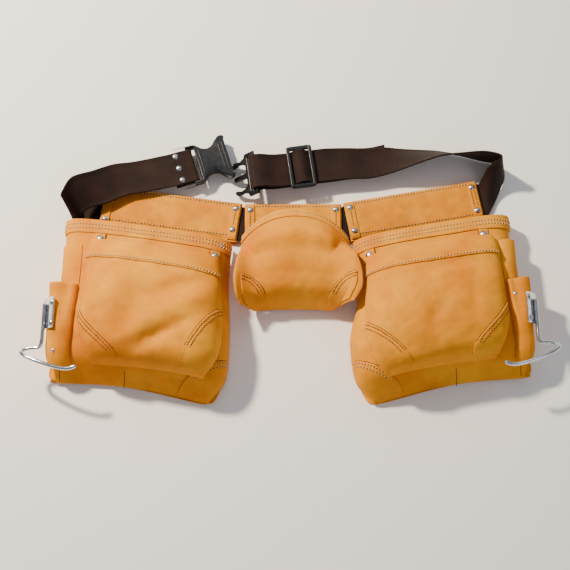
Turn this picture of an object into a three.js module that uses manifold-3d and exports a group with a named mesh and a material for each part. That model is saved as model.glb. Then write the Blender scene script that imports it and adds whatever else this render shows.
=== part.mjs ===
import * as THREE from 'three';
import { mergeVertices } from 'three/addons/utils/BufferGeometryUtils.js';
import Module from 'manifold-3d';

// Carpenter's nail apron of tan leather, lying on its back with the open belt above it.
// Millimetres. X runs to the wearer's left, Y from the bags up to the belt, Z up from the floor.

const solids = await Module();
solids.setup();

// Leather
const leather = 2.2;               // body hide of panels, bags and pockets
const trim = 1.6;                  // lighter hide of hems, patches and end strips
const seam = 0.35;                 // clearance between two pieces that are sewn together

// Belt
const beltWidth = 50;
const beltThick = 2.2;
const beltPlay = 0.7;              // room around the belt inside its tunnels

// Belt tunnels along the waist
const tunnelSeam = 3.4;            // sewn leather below the belt's room
const rivetTop = 9;                // upper rivets of the end strips, down from the folded edge
const tunnelDepth = leather + beltWidth + 2 * beltPlay + tunnelSeam;
const stripWidth = 12;
const stripInset = 1.5;            // end strip stands this far inside the tunnel's end

// Bags, in the wing's own frame: out from the inner end, down from the folded top edge
const bagMouth = 66;
const bagFoot = 287;
const bagArch = 8;                 // how far the bottom seam arches up between the corners
const patchSeam = 1.6;             // corner patches stand a little further off than a seam
const bagSquareness = 4.2;
const hemDepth = 21;

// Front pockets
const pocketMouth = 99;
const pocketFoot = 262;
const pocketHemDepth = 29;
const earWidth = 13;

// Metal
const rivetRadius = 4.2;
const rivetHeight = 1.9;
const wireRadius = 2.7;
const plateThick = 1.8;

// Layers built up from the floor
const panelTop = leather;
const tunnelBase = panelTop + seam;
const tunnelRoom = beltThick + 2 * beltPlay;
const tunnelTop = tunnelBase + 2 * leather + tunnelRoom;
const beltLevel = tunnelBase + leather + tunnelRoom / 2;
const stripTop = tunnelTop + seam + trim;
const bagBase = panelTop + seam;

const finishes = {
  leather_tan: new THREE.MeshStandardMaterial({ name: 'leather_tan', color: '#e0963c', roughness: 0.6 }),
  webbing_brown: new THREE.MeshStandardMaterial({ name: 'webbing_brown', color: '#3a2622', roughness: 0.85 }),
  plastic_black: new THREE.MeshStandardMaterial({ name: 'plastic_black', color: '#1a1d22', roughness: 0.45 }),
  steel_bright: new THREE.MeshStandardMaterial({
    name: 'steel_bright', color: '#c9ccd2', roughness: 0.25, metalness: 0.95,
  }),
};

// Wings: corner is the inner end of the folded top edge, turn the rise of that edge outward.
// shift moves bag and pockets along the wing, tunnel is the pair of tunnel ends.
const wings = {
  left: { name: 'left', hand: -1, corner: [-70.4, 31.4], turn: 8.2, shift: 5, tunnel: [0, 192], tuck: 0, pocketShift: 0, sideStart: 0.69 },
  right: { name: 'right', hand: 1, corner: [84.9, 35.3], turn: 10.1, shift: -26, tunnel: [-15, 173], tuck: 12, pocketShift: 11, sideStart: 0.73 },
};
const centreTunnel = { from: -66.5, to: 67, top: 31 };

const apron = new THREE.Group();
apron.name = 'carpenter_nail_apron';

const radians = (degrees) => degrees * Math.PI / 180;
const mix = (from, to, share) => from + (to - from) * share;
const smooth = (from, to, value) => THREE.MathUtils.smoothstep(value, from, to);
const hump = (share) => Math.sin(Math.PI * THREE.MathUtils.clamp(share, 0, 1));

// Enclosed volume with its sign, negative when the faces point inward.
function signedVolume(geometry) {
  const at = geometry.attributes.position;
  const order = geometry.index.array;
  const corner = [new THREE.Vector3(), new THREE.Vector3(), new THREE.Vector3()];
  let sum = 0;
  for (let i = 0; i < order.length; i += 3) {
    corner.forEach((point, k) => point.fromBufferAttribute(at, order[i + k]));
    sum += corner[0].dot(corner[1].clone().cross(corner[2])) / 6;
  }
  return sum;
}

// Bare closed geometry with welded points and faces turned outward.
function closed(geometry) {
  const bare = geometry.clone();
  bare.deleteAttribute('normal');
  bare.deleteAttribute('uv');
  const welded = mergeVertices(bare, 1e-3);
  if (signedVolume(welded) < 0) {
    const order = Array.from(welded.index.array);
    for (let i = 0; i < order.length; i += 3) {
      [order[i + 1], order[i + 2]] = [order[i + 2], order[i + 1]];
    }
    welded.setIndex(order);
  }
  return welded;
}

function add(name, geometry, finish) {
  const body = closed(geometry);
  body.computeVertexNormals();
  const mesh = new THREE.Mesh(body, finishes[finish].clone());
  mesh.name = name;
  apron.add(mesh);
  return mesh;
}

function toManifold(geometry) {
  const body = closed(geometry);
  return new solids.Manifold(new solids.Mesh({
    numProp: 3,
    vertProperties: new Float32Array(body.attributes.position.array),
    triVerts: new Uint32Array(body.index.array),
  }));
}

function fromManifold(solid) {
  const mesh = solid.getMesh();
  const geometry = new THREE.BufferGeometry();
  geometry.setAttribute('position', new THREE.BufferAttribute(new Float32Array(mesh.vertProperties), 3));
  geometry.setIndex(Array.from(mesh.triVerts));
  return geometry;
}

const cut = (body, ...tools) => fromManifold(
  tools.reduce((solid, tool) => solid.subtract(toManifold(tool)), toManifold(body)),
);
const join = (body, ...more) => fromManifold(
  more.reduce((solid, piece) => solid.add(toManifold(piece)), toManifold(body)),
);

// Closed shell between two point grids of the same size.
function shellBetween(outer, inner) {
  const rows = outer.length;
  const columns = outer[0].length;
  const points = [...outer.flat(), ...inner.flat()];
  const offset = rows * columns;
  const order = [];
  const face = (a, b, c, d) => order.push(a, b, c, a, c, d);
  const top = (i, j) => i * columns + j;
  const under = (i, j) => offset + i * columns + j;
  for (let i = 0; i + 1 < rows; i += 1) {
    for (let j = 0; j + 1 < columns; j += 1) {
      face(top(i, j), top(i + 1, j), top(i + 1, j + 1), top(i, j + 1));
      face(under(i, j), under(i, j + 1), under(i + 1, j + 1), under(i + 1, j));
    }
    face(top(i, 0), under(i, 0), under(i + 1, 0), top(i + 1, 0));
    face(top(i + 1, columns - 1), under(i + 1, columns - 1), under(i, columns - 1), top(i, columns - 1));
  }
  for (let j = 0; j + 1 < columns; j += 1) {
    face(top(0, j + 1), under(0, j + 1), under(0, j), top(0, j));
    face(top(rows - 1, j), under(rows - 1, j), under(rows - 1, j + 1), top(rows - 1, j + 1));
  }
  const geometry = new THREE.BufferGeometry();
  geometry.setAttribute('position', new THREE.Float32BufferAttribute(points.flatMap((p) => p.toArray()), 3));
  geometry.setIndex(order);
  return geometry;
}

// Unit normal of a surface given by shares, taken from two small steps.
function normalOf(surface, across, along) {
  const step = 0.004;
  const a0 = Math.max(across - step, 0);
  const a1 = Math.min(across + step, 1);
  const b0 = Math.max(along - step, 0);
  const b1 = Math.min(along + step, 1);
  const sideways = surface(a1, along).sub(surface(a0, along));
  const downward = surface(across, b1).sub(surface(across, b0));
  return sideways.cross(downward).normalize();
}

// Facets of a surface: a grid of points and outward normals, read between its lines at any lift.
function facets(surface, columns, rows) {
  const facing = normalOf(surface, 0.5, 0.4).z > 0 ? 1 : -1;
  const nodes = [];
  for (let j = 0; j <= rows; j += 1) {
    nodes.push([]);
    for (let i = 0; i <= columns; i += 1) {
      const share = [i / columns, j / rows];
      nodes[j].push({
        point: surface(...share),
        normal: normalOf(surface, ...share).multiplyScalar(facing),
      });
    }
  }
  const at = (across, along, lift) => {
    const x = THREE.MathUtils.clamp(across, 0, 1) * columns;
    const y = THREE.MathUtils.clamp(along, 0, 1) * rows;
    const i = Math.min(Math.floor(x + 1e-9), columns - 1);
    const j = Math.min(Math.floor(y + 1e-9), rows - 1);
    const raised = (k, l) => nodes[l][k].point.clone().addScaledVector(nodes[l][k].normal, lift);
    const upper = raised(i, j).lerp(raised(i + 1, j), x - i);
    const lower = raised(i, j + 1).lerp(raised(i + 1, j + 1), x - i);
    return upper.lerp(lower, y - j);
  };
  return { at, columns, rows };
}

// Leather piece on facets. place gives the shares of a grid point, lift its height off the facets.
function hide(face, place, columns, rows, lift, thick) {
  const outer = [];
  const inner = [];
  for (let j = 0; j <= rows; j += 1) {
    outer.push([]);
    inner.push([]);
    for (let i = 0; i <= columns; i += 1) {
      const x = i / columns;
      const y = j / rows;
      const [across, along] = place(x, y);
      const rise = lift(x, y);
      inner[j].push(face.at(across, along, rise));
      outer[j].push(face.at(across, along, rise + thick));
    }
  }
  return shellBetween(outer, inner);
}

const level = (height) => () => height;
const whole = (x, y) => [x, y];
const span = (across, along) => (x, y) => [mix(...across, x), mix(...along, y)];

// Corner piece: starts on an arc from the side edge and runs down to the foot.
const corner = (across, start, end) => (x, y) => {
  const arc = mix(start, end, 1 - (1 - x) ** 1.25);
  return [mix(...across, x), mix(arc, 0.965, y)];
};

// Point of a wing from its own frame: out along the top edge, down from it, up from the floor.
function wingPoint(wing, out, down, up) {
  const turn = radians(wing.turn);
  return new THREE.Vector3(
    wing.corner[0] + wing.hand * (out * Math.cos(turn) + down * Math.sin(turn)),
    wing.corner[1] + out * Math.sin(turn) - down * Math.cos(turn),
    up,
  );
}

// Smooth curve through a table of named columns at equal shares.
function readRow(table, column, share) {
  const last = table.length - 1;
  const place = THREE.MathUtils.clamp(share, 0, 1) * last;
  const i = Math.min(Math.floor(place), last - 1);
  const t = place - i;
  const value = (k) => table[THREE.MathUtils.clamp(k, 0, last)][column];
  const before = (value(i + 1) - value(i - 1)) / 2;
  const after = (value(i + 2) - value(i)) / 2;
  const change = value(i + 1) - value(i);
  return value(i) + t * (before + t * (3 * change - 2 * before - after + t * (before + after - 2 * change)));
}

// Main bag from mouth to foot: inner and outer edge along the wing, height of the front.
const bagRows = [
  { inner: 1, outer: 226, height: 41 },
  { inner: 0, outer: 222, height: 46 },
  { inner: -3, outer: 218, height: 50 },
  { inner: -8, outer: 215, height: 52 },
  { inner: -13, outer: 214, height: 53 },
  { inner: -17, outer: 213, height: 52 },
  { inner: -20, outer: 212, height: 49 },
  { inner: -18, outer: 211, height: 37 },
  { inner: -9, outer: 207, height: 4 },
];
const bagGrid = { columns: 20, rows: 11 };

const bagFootAt = (share) => bagFoot - bagArch * hump(share);
const bagInner = (wing, along) => readRow(bagRows, 'inner', along) + wing.tuck * (1 - smooth(0.35, 0.62, along));

// Height of the bag's front over a place on the wing.
function bagFront(wing, out, down) {
  const along = (down - bagMouth) / (bagFootAt(out / 226) - bagMouth);
  const inner = bagInner(wing, along);
  const outer = readRow(bagRows, 'outer', along);
  const side = Math.min(Math.abs((2 * out - inner - outer) / (outer - inner)), 0.999);
  const round = (1 - side ** bagSquareness) ** (1 / bagSquareness);
  return bagBase + readRow(bagRows, 'height', along) * round;
}

// Half of a squared oval: side runs from -1 to 1 across it while rise goes up and down again.
function squaredOval(across, squareness) {
  const angle = Math.PI * (1 - across);
  const power = 2 / squareness;
  return {
    side: Math.sign(Math.cos(angle)) * Math.abs(Math.cos(angle)) ** power,
    rise: Math.abs(Math.sin(angle)) ** power,
  };
}

// Bag surface: across runs from the inner foot over the front to the outer foot.
function bagSurface(wing) {
  return (across, along) => {
    const { side, rise } = squaredOval(across, bagSquareness);
    const out = mix(bagInner(wing, along), readRow(bagRows, 'outer', along), (side + 1) / 2);
    const down = mix(bagMouth, bagFootAt((side + 1) / 2), along);
    return wingPoint(wing, out + wing.shift, down, bagBase + readRow(bagRows, 'height', along) * rise);
  };
}

// Front pocket from mouth to foot: edges along the wing and rise over the bag's front.
const pocketRows = [
  { inner: 13, outer: 181, rise: 7 },
  { inner: 8, outer: 182, rise: 14 },
  { inner: 3, outer: 181, rise: 19 },
  { inner: -1, outer: 180, rise: 22 },
  { inner: -5, outer: 178, rise: 24 },
  { inner: -8, outer: 176, rise: 26 },
  { inner: -9, outer: 173, rise: 25 },
  { inner: -5, outer: 165, rise: 17 },
  { inner: 6, outer: 152, rise: 1.5 },
];
const pocketGrid = { columns: 18, rows: 11 };
const pocketSquareness = 3.4;
const pocketBed = 2;               // room left under the pocket's edges for the bag's facets

function pocketSurface(wing) {
  return (across, along) => {
    const { side, rise } = squaredOval(across, pocketSquareness);
    const inner = readRow(pocketRows, 'inner', along);
    const outer = readRow(pocketRows, 'outer', along);
    const out = mix(inner, outer, (side + 1) / 2) + wing.pocketShift;
    const foot = pocketFoot - 3 * hump((side + 1) / 2);
    const down = mix(pocketMouth, foot, along);
    const rest = bagFront(wing, out, down) + leather + seam + pocketBed;
    return wingPoint(wing, out + wing.shift, down, rest + rise * readRow(pocketRows, 'rise', along));
  };
}

const rivetProfile = [
  { radius: 0, height: 0 },
  { radius: 1, height: 0 },
  { radius: 0.94, height: 0.42 },
  { radius: 0.6, height: 0.86 },
  { radius: 0, height: 1 },
];

const upward = new THREE.Vector3(0, 0, 1);

function rivetHead(seat, normal) {
  const points = rivetProfile.map((p) => new THREE.Vector2(p.radius * rivetRadius, p.height * rivetHeight));
  const head = new THREE.LatheGeometry(points, 10);
  head.rotateX(Math.PI / 2);
  head.applyQuaternion(new THREE.Quaternion().setFromUnitVectors(upward, normal));
  head.translate(seat.x, seat.y, seat.z);
  return head;
}

function rivet(name, seat, normal) {
  add(name, rivetHead(seat.clone().addScaledVector(normal, seam), normal), 'steel_bright');
}

// Flat ring section of a belt tunnel, drawn down from the folded edge and up from the floor.
function tunnelProfile() {
  const outline = new THREE.Shape();
  outline.moveTo(3, tunnelBase);
  outline.lineTo(tunnelDepth, tunnelBase);
  outline.lineTo(tunnelDepth, tunnelBase + 2 * leather);
  outline.lineTo(tunnelDepth - 3, tunnelTop);
  outline.lineTo(3, tunnelTop);
  outline.lineTo(0.8, tunnelTop - 1.8);
  outline.lineTo(0, (tunnelBase + tunnelTop) / 2);
  outline.lineTo(0.8, tunnelBase + 1.8);
  const room = new THREE.Path();
  const reach = tunnelDepth - tunnelSeam;
  room.moveTo(leather, tunnelBase + leather);
  room.lineTo(leather, tunnelTop - leather);
  room.lineTo(reach, tunnelTop - leather);
  room.lineTo(reach, tunnelBase + leather);
  outline.holes.push(room);
  return outline;
}

// Turns a shape drawn in (down, up) and extruded outward into the wing's place.
function stand(wing, geometry, out) {
  const origin = wingPoint(wing, out, 0, 0);
  const down = wingPoint(wing, out, 1, 0).sub(origin);
  const outward = wingPoint(wing, out + 1, 0, 0).sub(origin);
  const frame = new THREE.Matrix4().makeBasis(down, upward, outward);
  frame.setPosition(origin);
  return geometry.clone().applyMatrix4(frame);
}

const extrude = (shape, depth) => new THREE.ExtrudeGeometry(shape, { depth, bevelEnabled: false, curveSegments: 6 });

function slab(wing, out, down, up) {
  const box = new THREE.BoxGeometry(down[1] - down[0], up[1] - up[0], out[1] - out[0]);
  box.translate((down[0] + down[1]) / 2, (up[0] + up[1]) / 2, (out[1] - out[0]) / 2);
  return stand(wing, box, out[0]);
}

const centreFrame = { hand: 1, corner: [0, centreTunnel.top], turn: 0, tunnel: [centreTunnel.from, centreTunnel.to] };

// Belt tunnels with their riveted end strips
function tunnel(place, label, rivetRows) {
  const [from, to] = place.tunnel;
  add(`belt_tunnel_${label}`, stand(place, extrude(tunnelProfile(), to - from), from), 'leather_tan');
  const ends = [[from + stripInset, 'inner'], [to - stripInset - stripWidth, 'outer']];
  ends.forEach(([start, end]) => {
    const strip = slab(place, [start, start + stripWidth], [3.2, tunnelDepth - 3.2], [tunnelTop + seam, stripTop]);
    add(`end_strip_${label}_${end}`, strip, 'leather_tan');
    rivetRows[end].forEach((down, k) => {
      rivet(`rivet_${label}_${end}_${k}`, wingPoint(place, start + stripWidth / 2, down, stripTop), upward);
    });
  });
}

// Flat back panel under the bag, from behind the tunnel down to the bag's foot
function backPanel(wing) {
  const tunnelEnd = wing.tunnel[1] - wing.shift;
  const inner = wing.tuck;
  const edge = [[inner + 9, 24], [inner + 3, 60], [inner - 2, 130], [-11, 200], [-18, 250], [-12, 281], [-2, 287],
    [12, 288], [110, 280], [200, 287], [210, 283], [214, 268], [214, 190], [221, 66], [tunnelEnd - 2, 58],
    [tunnelEnd - 4, 24]];
  const outline = new THREE.Shape(edge.map(([out, down]) => {
    const at = wingPoint(wing, out + wing.shift, down, 0);
    return new THREE.Vector2(at.x, at.y);
  }));
  add(`back_panel_${wing.name}`, extrude(outline, leather), 'leather_tan');
}

// Bag with hem, front pocket, corner patches, side pocket and tool sleeve
function bag(wing) {
  const name = wing.name;
  const body = facets(bagSurface(wing), bagGrid.columns, bagGrid.rows);
  const over = level(leather + seam);
  add(`bag_${name}`, hide(body, whole, bagGrid.columns, bagGrid.rows, level(0), leather), 'leather_tan');
  add(`bag_hem_${name}`, hide(body, span([0.05, 0.95], [0, 1 / bagGrid.rows]), 18, 1, over, trim), 'leather_tan');

  const pocket = facets(pocketSurface(wing), pocketGrid.columns, pocketGrid.rows);
  add(`front_pocket_${name}`, hide(pocket, whole, pocketGrid.columns, pocketGrid.rows, level(0), leather), 'leather_tan');
  const pocketHem = span([1 / 18, 17 / 18], [0, 2 / pocketGrid.rows]);
  add(`pocket_hem_${name}`, hide(pocket, pocketHem, 16, 2, over, trim), 'leather_tan');
  const ends = { inner: [1 / 18, 7 / 18], outer: [17 / 18, 11 / 18] };
  Object.entries(ends).forEach(([end, across]) => {
    const patch = hide(pocket, corner(across, 0.6, 0.93), 6, 5, level(leather + patchSeam), trim);
    add(`pocket_patch_${name}_${end}`, patch, 'leather_tan');
  });

  const start = wing.sideStart;
  const sidePlace = span([start, 0.95], [2 / 11, 10 / 11]);
  const sideLift = (x, y) => leather + seam + 9 * hump(x) * (1 - y);
  add(`side_pocket_${name}`, hide(body, sidePlace, 8, 8, sideLift, trim), 'leather_tan');
  const sleevePlace = span([start, 0.9], [5 / 11, 10 / 11]);
  const sleeveLift = (x, y) => {
    const below = sideLift(x * (0.9 - start) / (0.95 - start), (mix(5, 10, y) - 2) / 8);
    return below + trim + seam + 0.3 + mix(18, 9, y) * hump(x) ** 0.7;
  };
  add(`tool_sleeve_${name}`, hide(body, sleevePlace, 10, 5, sleeveLift, leather), 'leather_tan');
  const sleeveFace = (x, y) => body.at(...sleevePlace(x, y), sleeveLift(x, y) + leather);
  hammerLoop(wing, sleeveFace);
  ears(wing, body);
}

// Share across a squared oval at a place between its two edges.
function shareAt(place, inner, outer, squareness) {
  const side = (2 * place - inner - outer) / (outer - inner);
  return 1 - Math.acos(Math.sign(side) * Math.abs(side) ** (squareness / 2)) / Math.PI;
}

// Ears of the front pocket, riveted to the bag between its hem and the pocket's mouth
function ears(wing, body) {
  const places = { inner: 18, outer: 172 };
  const depth = bagFoot - bagMouth;
  const along = [1 / bagGrid.rows + 0.004, (pocketMouth - bagMouth) / depth - 0.002];
  const middle = (along[0] + along[1]) / 2;
  const edges = [bagInner(wing, middle), readRow(bagRows, 'outer', middle)];
  Object.entries(places).forEach(([end, place]) => {
    const out = place + wing.pocketShift;
    const across = [-1, 1].map((way) => shareAt(out + way * earWidth / 2, ...edges, bagSquareness));
    const lift = leather + patchSeam / 2;
    add(`pocket_ear_${wing.name}_${end}`, hide(body, span(across, along), 1, 1, level(lift), trim), 'leather_tan');
    const centre = (across[0] + across[1]) / 2;
    const seat = body.at(centre, middle, lift + trim);
    const normal = seat.clone().sub(body.at(centre, middle, 0)).normalize();
    rivet(`rivet_ear_${wing.name}_${end}`, seat.addScaledVector(normal, end === 'inner' ? -0.5 : 0), normal);
  });
}

// Hammer loop: riveted plate on the tool sleeve and the bent wire it clamps
const plateSize = { width: 24, length: 42 };

function hammerLoop(wing, sleeveFace) {
  const middle = sleeveFace(0.62, 0.42);
  const across = sleeveFace(0.72, 0.42).sub(sleeveFace(0.52, 0.42)).normalize();
  const along = sleeveFace(0.62, 0.6).sub(sleeveFace(0.62, 0.24)).normalize();
  const normal = across.clone().cross(along).normalize();
  normal.multiplyScalar(Math.sign(normal.z));
  along.copy(normal.clone().cross(across)).multiplyScalar(wing.hand);
  if (along.y > 0) along.negate();
  const frame = new THREE.Matrix4().makeBasis(across, along, normal);
  const lift = 0.5;
  frame.setPosition(middle.clone().addScaledVector(normal, lift));
  const plate = new THREE.BoxGeometry(plateSize.width, plateSize.length, plateThick);
  plate.translate(0, 0, plateThick / 2);
  plate.applyMatrix4(frame);
  const seat = (x, y, z) => new THREE.Vector3(x, y, z).applyMatrix4(frame);
  const heads = [-1, 1].map((end) => rivetHead(seat(-6, end * 14, plateThick - 0.2), normal));
  add(`hammer_plate_${wing.name}`, join(plate, ...heads), 'steel_bright');

  const rise = plateThick + seam + wireRadius;
  const path = [seat(5.5, -14, rise), seat(5.5, 4, rise), seat(5.5, 24, rise)];
  wireBends.forEach(({ out, down, up }) => path.push(wingPoint(wing, out + wing.shift, down, up)));
  const curve = new THREE.CatmullRomCurve3(path, false, 'centripetal');
  const ring = new THREE.Shape();
  for (let k = 0; k < 8; k += 1) {
    const angle = 2 * Math.PI * k / 8;
    const point = [wireRadius * Math.cos(angle), wireRadius * Math.sin(angle)];
    if (k === 0) ring.moveTo(...point);
    else ring.lineTo(...point);
  }
  const wire = new THREE.ExtrudeGeometry(ring, { steps: 34, bevelEnabled: false, extrudePath: curve });
  add(`hammer_wire_${wing.name}`, wire, 'steel_bright');
}

// Bends of the wire below the plate, out along the wing, down and up from the floor
const wireBends = [
  { out: 222, down: 254, up: 50 },
  { out: 235, down: 258, up: 48 },
  { out: 243, down: 262, up: 48 },
  { out: 244, down: 267, up: 52 },
  { out: 236, down: 272, up: 56 },
  { out: 216, down: 278, up: 60 },
  { out: 194, down: 282, up: 62 },
  { out: 178, down: 282, up: 63 },
  { out: 167, down: 277, up: 64 },
];

tunnel(wings.left, 'left', { inner: [rivetTop, tunnelDepth - 16], outer: [tunnelDepth - 8] });
tunnel(wings.right, 'right', { inner: [rivetTop, tunnelDepth - 13], outer: [rivetTop, tunnelDepth - 13] });
tunnel(centreFrame, 'centre', { inner: [rivetTop], outer: [rivetTop] });
backPanel(wings.left);
backPanel(wings.right);
bag(wings.left);
bag(wings.right);

// Centre pocket: a curved back that rests on the bags' shoulders, a full front and a hem
const centreRows = [
  { from: -68, to: 72, rise: 20 },
  { from: -70, to: 78, rise: 30 },
  { from: -73, to: 83, rise: 41 },
  { from: -76, to: 88, rise: 47 },
  { from: -78, to: 91, rise: 46 },
  { from: -77, to: 90, rise: 34 },
  { from: -73, to: 82, rise: 1.5 },
];
const centreShape = { mouth: 10, mouthDrop: 36, foot: -127, footDrop: 7, shoulder: 52, play: 4.4 };

function centrePlace(across, along, lift) {
  const x = mix(readRow(centreRows, 'from', along), readRow(centreRows, 'to', along), across);
  const side = Math.abs(2 * across - 1);
  const mouth = centreShape.mouth - centreShape.mouthDrop * side ** 2.2;
  const foot = centreShape.foot - centreShape.footDrop * side ** 2;
  const shoulder = centreShape.shoulder * smooth(48, 85, Math.abs(x)) * smooth(0.02, 0.4, along);
  const bed = 0.6 + Math.max(shoulder, (stripTop + seam) * (1 - smooth(0.28, 0.5, along)));
  return new THREE.Vector3(x, mix(mouth, foot, along), bed + lift(shoulder));
}

const centreBack = facets((across, along) => centrePlace(across, along, () => 0), 12, 8);
add('centre_pocket_back', hide(centreBack, whole, 12, 8, level(0), leather), 'leather_tan');
const centreFront = facets((across, along) => {
  const { side, rise } = squaredOval(across, 2.6);
  const swell = readRow(centreRows, 'rise', along);
  const lift = (shoulder) => leather + seam + centreShape.play + rise * Math.max(swell - 0.85 * shoulder, 1);
  return centrePlace((side + 1) / 2, along, lift);
}, 14, 9);
add('centre_pocket_front', hide(centreFront, whole, 14, 9, level(0), leather), 'leather_tan');
const centreOver = level(leather + seam);
add('centre_pocket_hem', hide(centreFront, span([1 / 14, 13 / 14], [0, 1 / 9]), 12, 1, centreOver, trim), 'leather_tan');
const centrePatch = (across, off) => hide(centreFront, corner(across, 0.66, 0.93), 4, 4, level(leather + off), trim);
add('centre_patch_left', centrePatch([2 / 14, 5 / 14], 1.3), 'leather_tan');
add('centre_patch_right', centrePatch([12 / 14, 9 / 14], 2.4), 'leather_tan');

// Belt: pairs of edge points from the socket buckle through the tunnels to the slider and back.
// far is the edge that lies at the top of the tunnels, near the one at their sewn side.
const beltSections = [];
const beltAt = (far, near) => beltSections.push([new THREE.Vector3(...far), new THREE.Vector3(...near)]);
// In the turns a pair gives the near edge and the lie of the belt, whose width sets the far edge.
const turnAt = (far, near) => {
  const edge = new THREE.Vector3(...near);
  const lie = new THREE.Vector3(...far).sub(edge);
  beltAt(edge.clone().addScaledVector(lie.normalize(), beltWidth).toArray(), near);
};
const unit = (x, y) => new THREE.Vector2(x, y).normalize();

// Socket buckle: strap direction towards the socket's mouth and its bar's direction
const socket = { middle: [-136.3, 88.9], axis: unit(0.955, 0.296), level: 14.5, bar: 5, barThick: 4, thick: 12 };
const socketPlace = (along, across) => [
  socket.middle[0] + socket.axis.x * along - socket.axis.y * across,
  socket.middle[1] + socket.axis.y * along + socket.axis.x * across,
];
const half = beltWidth / 2;
const socketStrap = (along, up) => beltAt([...socketPlace(along, half), up], [...socketPlace(along, -half), up]);
const wrap = beltThick / 2 + seam + 0.3;
const socketTop = socket.level + socket.barThick / 2 + wrap;
const socketUnder = socket.level - socket.barThick / 2 - wrap;
[[-34, socketUnder], [-20, socketUnder], [-10, socketUnder]].forEach(([d, z]) => socketStrap(d, z));
[[-4.6, socketUnder], [-1.6, socketUnder + 1.4], [-0.9, socket.level], [-1.6, socketTop - 1.4], [-4.6, socketTop],
  [-10, socketTop], [-22, socketTop + 0.3], [-36, socketTop + 0.8]].forEach(([d, z]) => socketStrap(d, z));

// Left turn of the belt, folding down and back into the left tunnel
turnAt([-222, 92, 20], [-203, 45.5, 20]);
turnAt([-250, 85.4, 26], [-229, 40, 21]);
turnAt([-278, 71, 39], [-254, 28, 23]);
turnAt([-301, 51, 50], [-281, 18.5, 24]);
turnAt([-314, 32, 52], [-297, 9.5, 12]);
turnAt([-314.5, 27, 45], [-303, 7.5, 4.5]);
turnAt([-306, 44, 25], [-301, 3, 2.4]);
turnAt([-292, 58, 12], [-291, 8.4, 3]);

// Through the three tunnels
const across = (place, out) => {
  const edge = (down) => wingPoint(place, out, down, beltLevel).toArray();
  const start = leather + beltPlay;
  beltAt(edge(start), edge(start + beltWidth));
};
[200, 191, 130, 60, 2].forEach((out) => across(wings.left, out));
[centreTunnel.from + 2, 0, centreTunnel.to - 2].forEach((out) => across(centreFrame, out));
[-13, 50, 110, 172, 178].forEach((out) => across(wings.right, out));

// Right turn: the belt rises on its near edge, turns round and lies down towards the slider
turnAt([268, 72, 30], [281, 35, 3]);
turnAt([277, 79, 44], [290, 57, 2]);
turnAt([284.5, 81.5, 50.5], [296.5, 74, 1.8]);
turnAt([287, 86.5, 51], [295.5, 88, 1.6]);
turnAt([279, 90.5, 51], [284, 97.5, 1.6]);
turnAt([262, 93, 51], [264, 102.5, 1.6]);
turnAt([235.6, 92.1, 48], [235.6, 110.5, 1.6]);
turnAt([207, 90.1, 44], [204, 116.3, 1.8]);
turnAt([184.4, 86, 38], [179.5, 117.6, 2.6]);
turnAt([159.9, 79.5, 31], [154.7, 118.7, 4]);
turnAt([131.9, 73, 21], [130, 119.7, 7]);
turnAt([107.4, 68, 19], [106.9, 115.8, 11]);
turnAt([80, 65.5, 21], [82, 114.5, 16]);

// Slider and plug buckle: the strap runs over the slider's middle bar and loops round the plug's bar.
const ladder = { middle: [11.6, 81.6], axis: unit(-66.4, -9.5), level: 25, thick: 4, plug: 65 };
const ladderPlace = (along, across) => [
  ladder.middle[0] + ladder.axis.x * along - ladder.axis.y * across,
  ladder.middle[1] + ladder.axis.y * along + ladder.axis.x * across,
];
const ladderStrap = (along, up) => beltAt([...ladderPlace(along, half), up], [...ladderPlace(along, -half), up]);
const low = ladder.level - ladder.thick / 2 - wrap;
const high = ladder.level + ladder.thick / 2 + wrap;
const plugLevel = 27;
const loop = 5.2;
[[-40, low - 1], [-20, low], [-13.6, low], [-10.5, low + 2], [-6.5, high - 2], [-3.4, high], [0, high + 0.3],
  [3.4, high], [6.5, high - 2], [10.5, low + 2], [13.6, low], [20, low], [38, 24], [54, plugLevel + loop - 1.2],
  [ladder.plug - 1, plugLevel + loop], [ladder.plug + 3.7, plugLevel + 3.7], [ladder.plug + loop, plugLevel],
  [ladder.plug + 3.7, plugLevel - 3.7], [ladder.plug - 1, plugLevel - loop], [54, 20.2], [38, low - 4], [20, low - 4.4],
  [0, low - 4.4], [-20, low - 4.4], [-40, low - 5]].forEach(([d, z]) => ladderStrap(d, z));
turnAt([81, 67, 17], [83, 116, 12]);
turnAt([106, 70.5, 15], [107.2, 119.3, 7]);
turnAt([128, 79, 14], [131, 126.5, 2.8]);

// Closed ribbon through the sections, with steps between each two
function ribbon(sections, steps, thick) {
  const curveOf = (k) => new THREE.CatmullRomCurve3(sections.map((pair) => pair[k]), false, 'catmullrom', 0.5);
  const curves = [curveOf(0), curveOf(1)];
  const count = (sections.length - 1) * steps;
  const pair = (k) => curves.map((curve) => curve.getPoint(THREE.MathUtils.clamp(k / count, 0, 1)));
  const rows = [];
  for (let k = 0; k <= count; k += 1) {
    const [far, near] = pair(k);
    const centre = (points) => points[0].clone().add(points[1]).multiplyScalar(0.5);
    const tangent = centre(pair(k + 0.3)).sub(centre(pair(k - 0.3)));
    const normal = far.clone().sub(near).cross(tangent).normalize().multiplyScalar(thick / 2);
    rows.push({ outer: [far.clone().add(normal), near.clone().add(normal)],
      inner: [far.sub(normal), near.sub(normal)] });
  }
  return shellBetween(rows.map((row) => row.outer), rows.map((row) => row.inner));
}
add('belt', ribbon(beltSections, 2, beltThick), 'webbing_brown');

// Places a flat part drawn about a bar: along the strap, across it, and up.
function inPlane(geometry, origin, along, sideways) {
  const upwards = along.clone().cross(sideways).normalize();
  const frame = new THREE.Matrix4().makeBasis(along, sideways, upwards);
  frame.setPosition(origin);
  return geometry.clone().applyMatrix4(frame);
}

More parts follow.
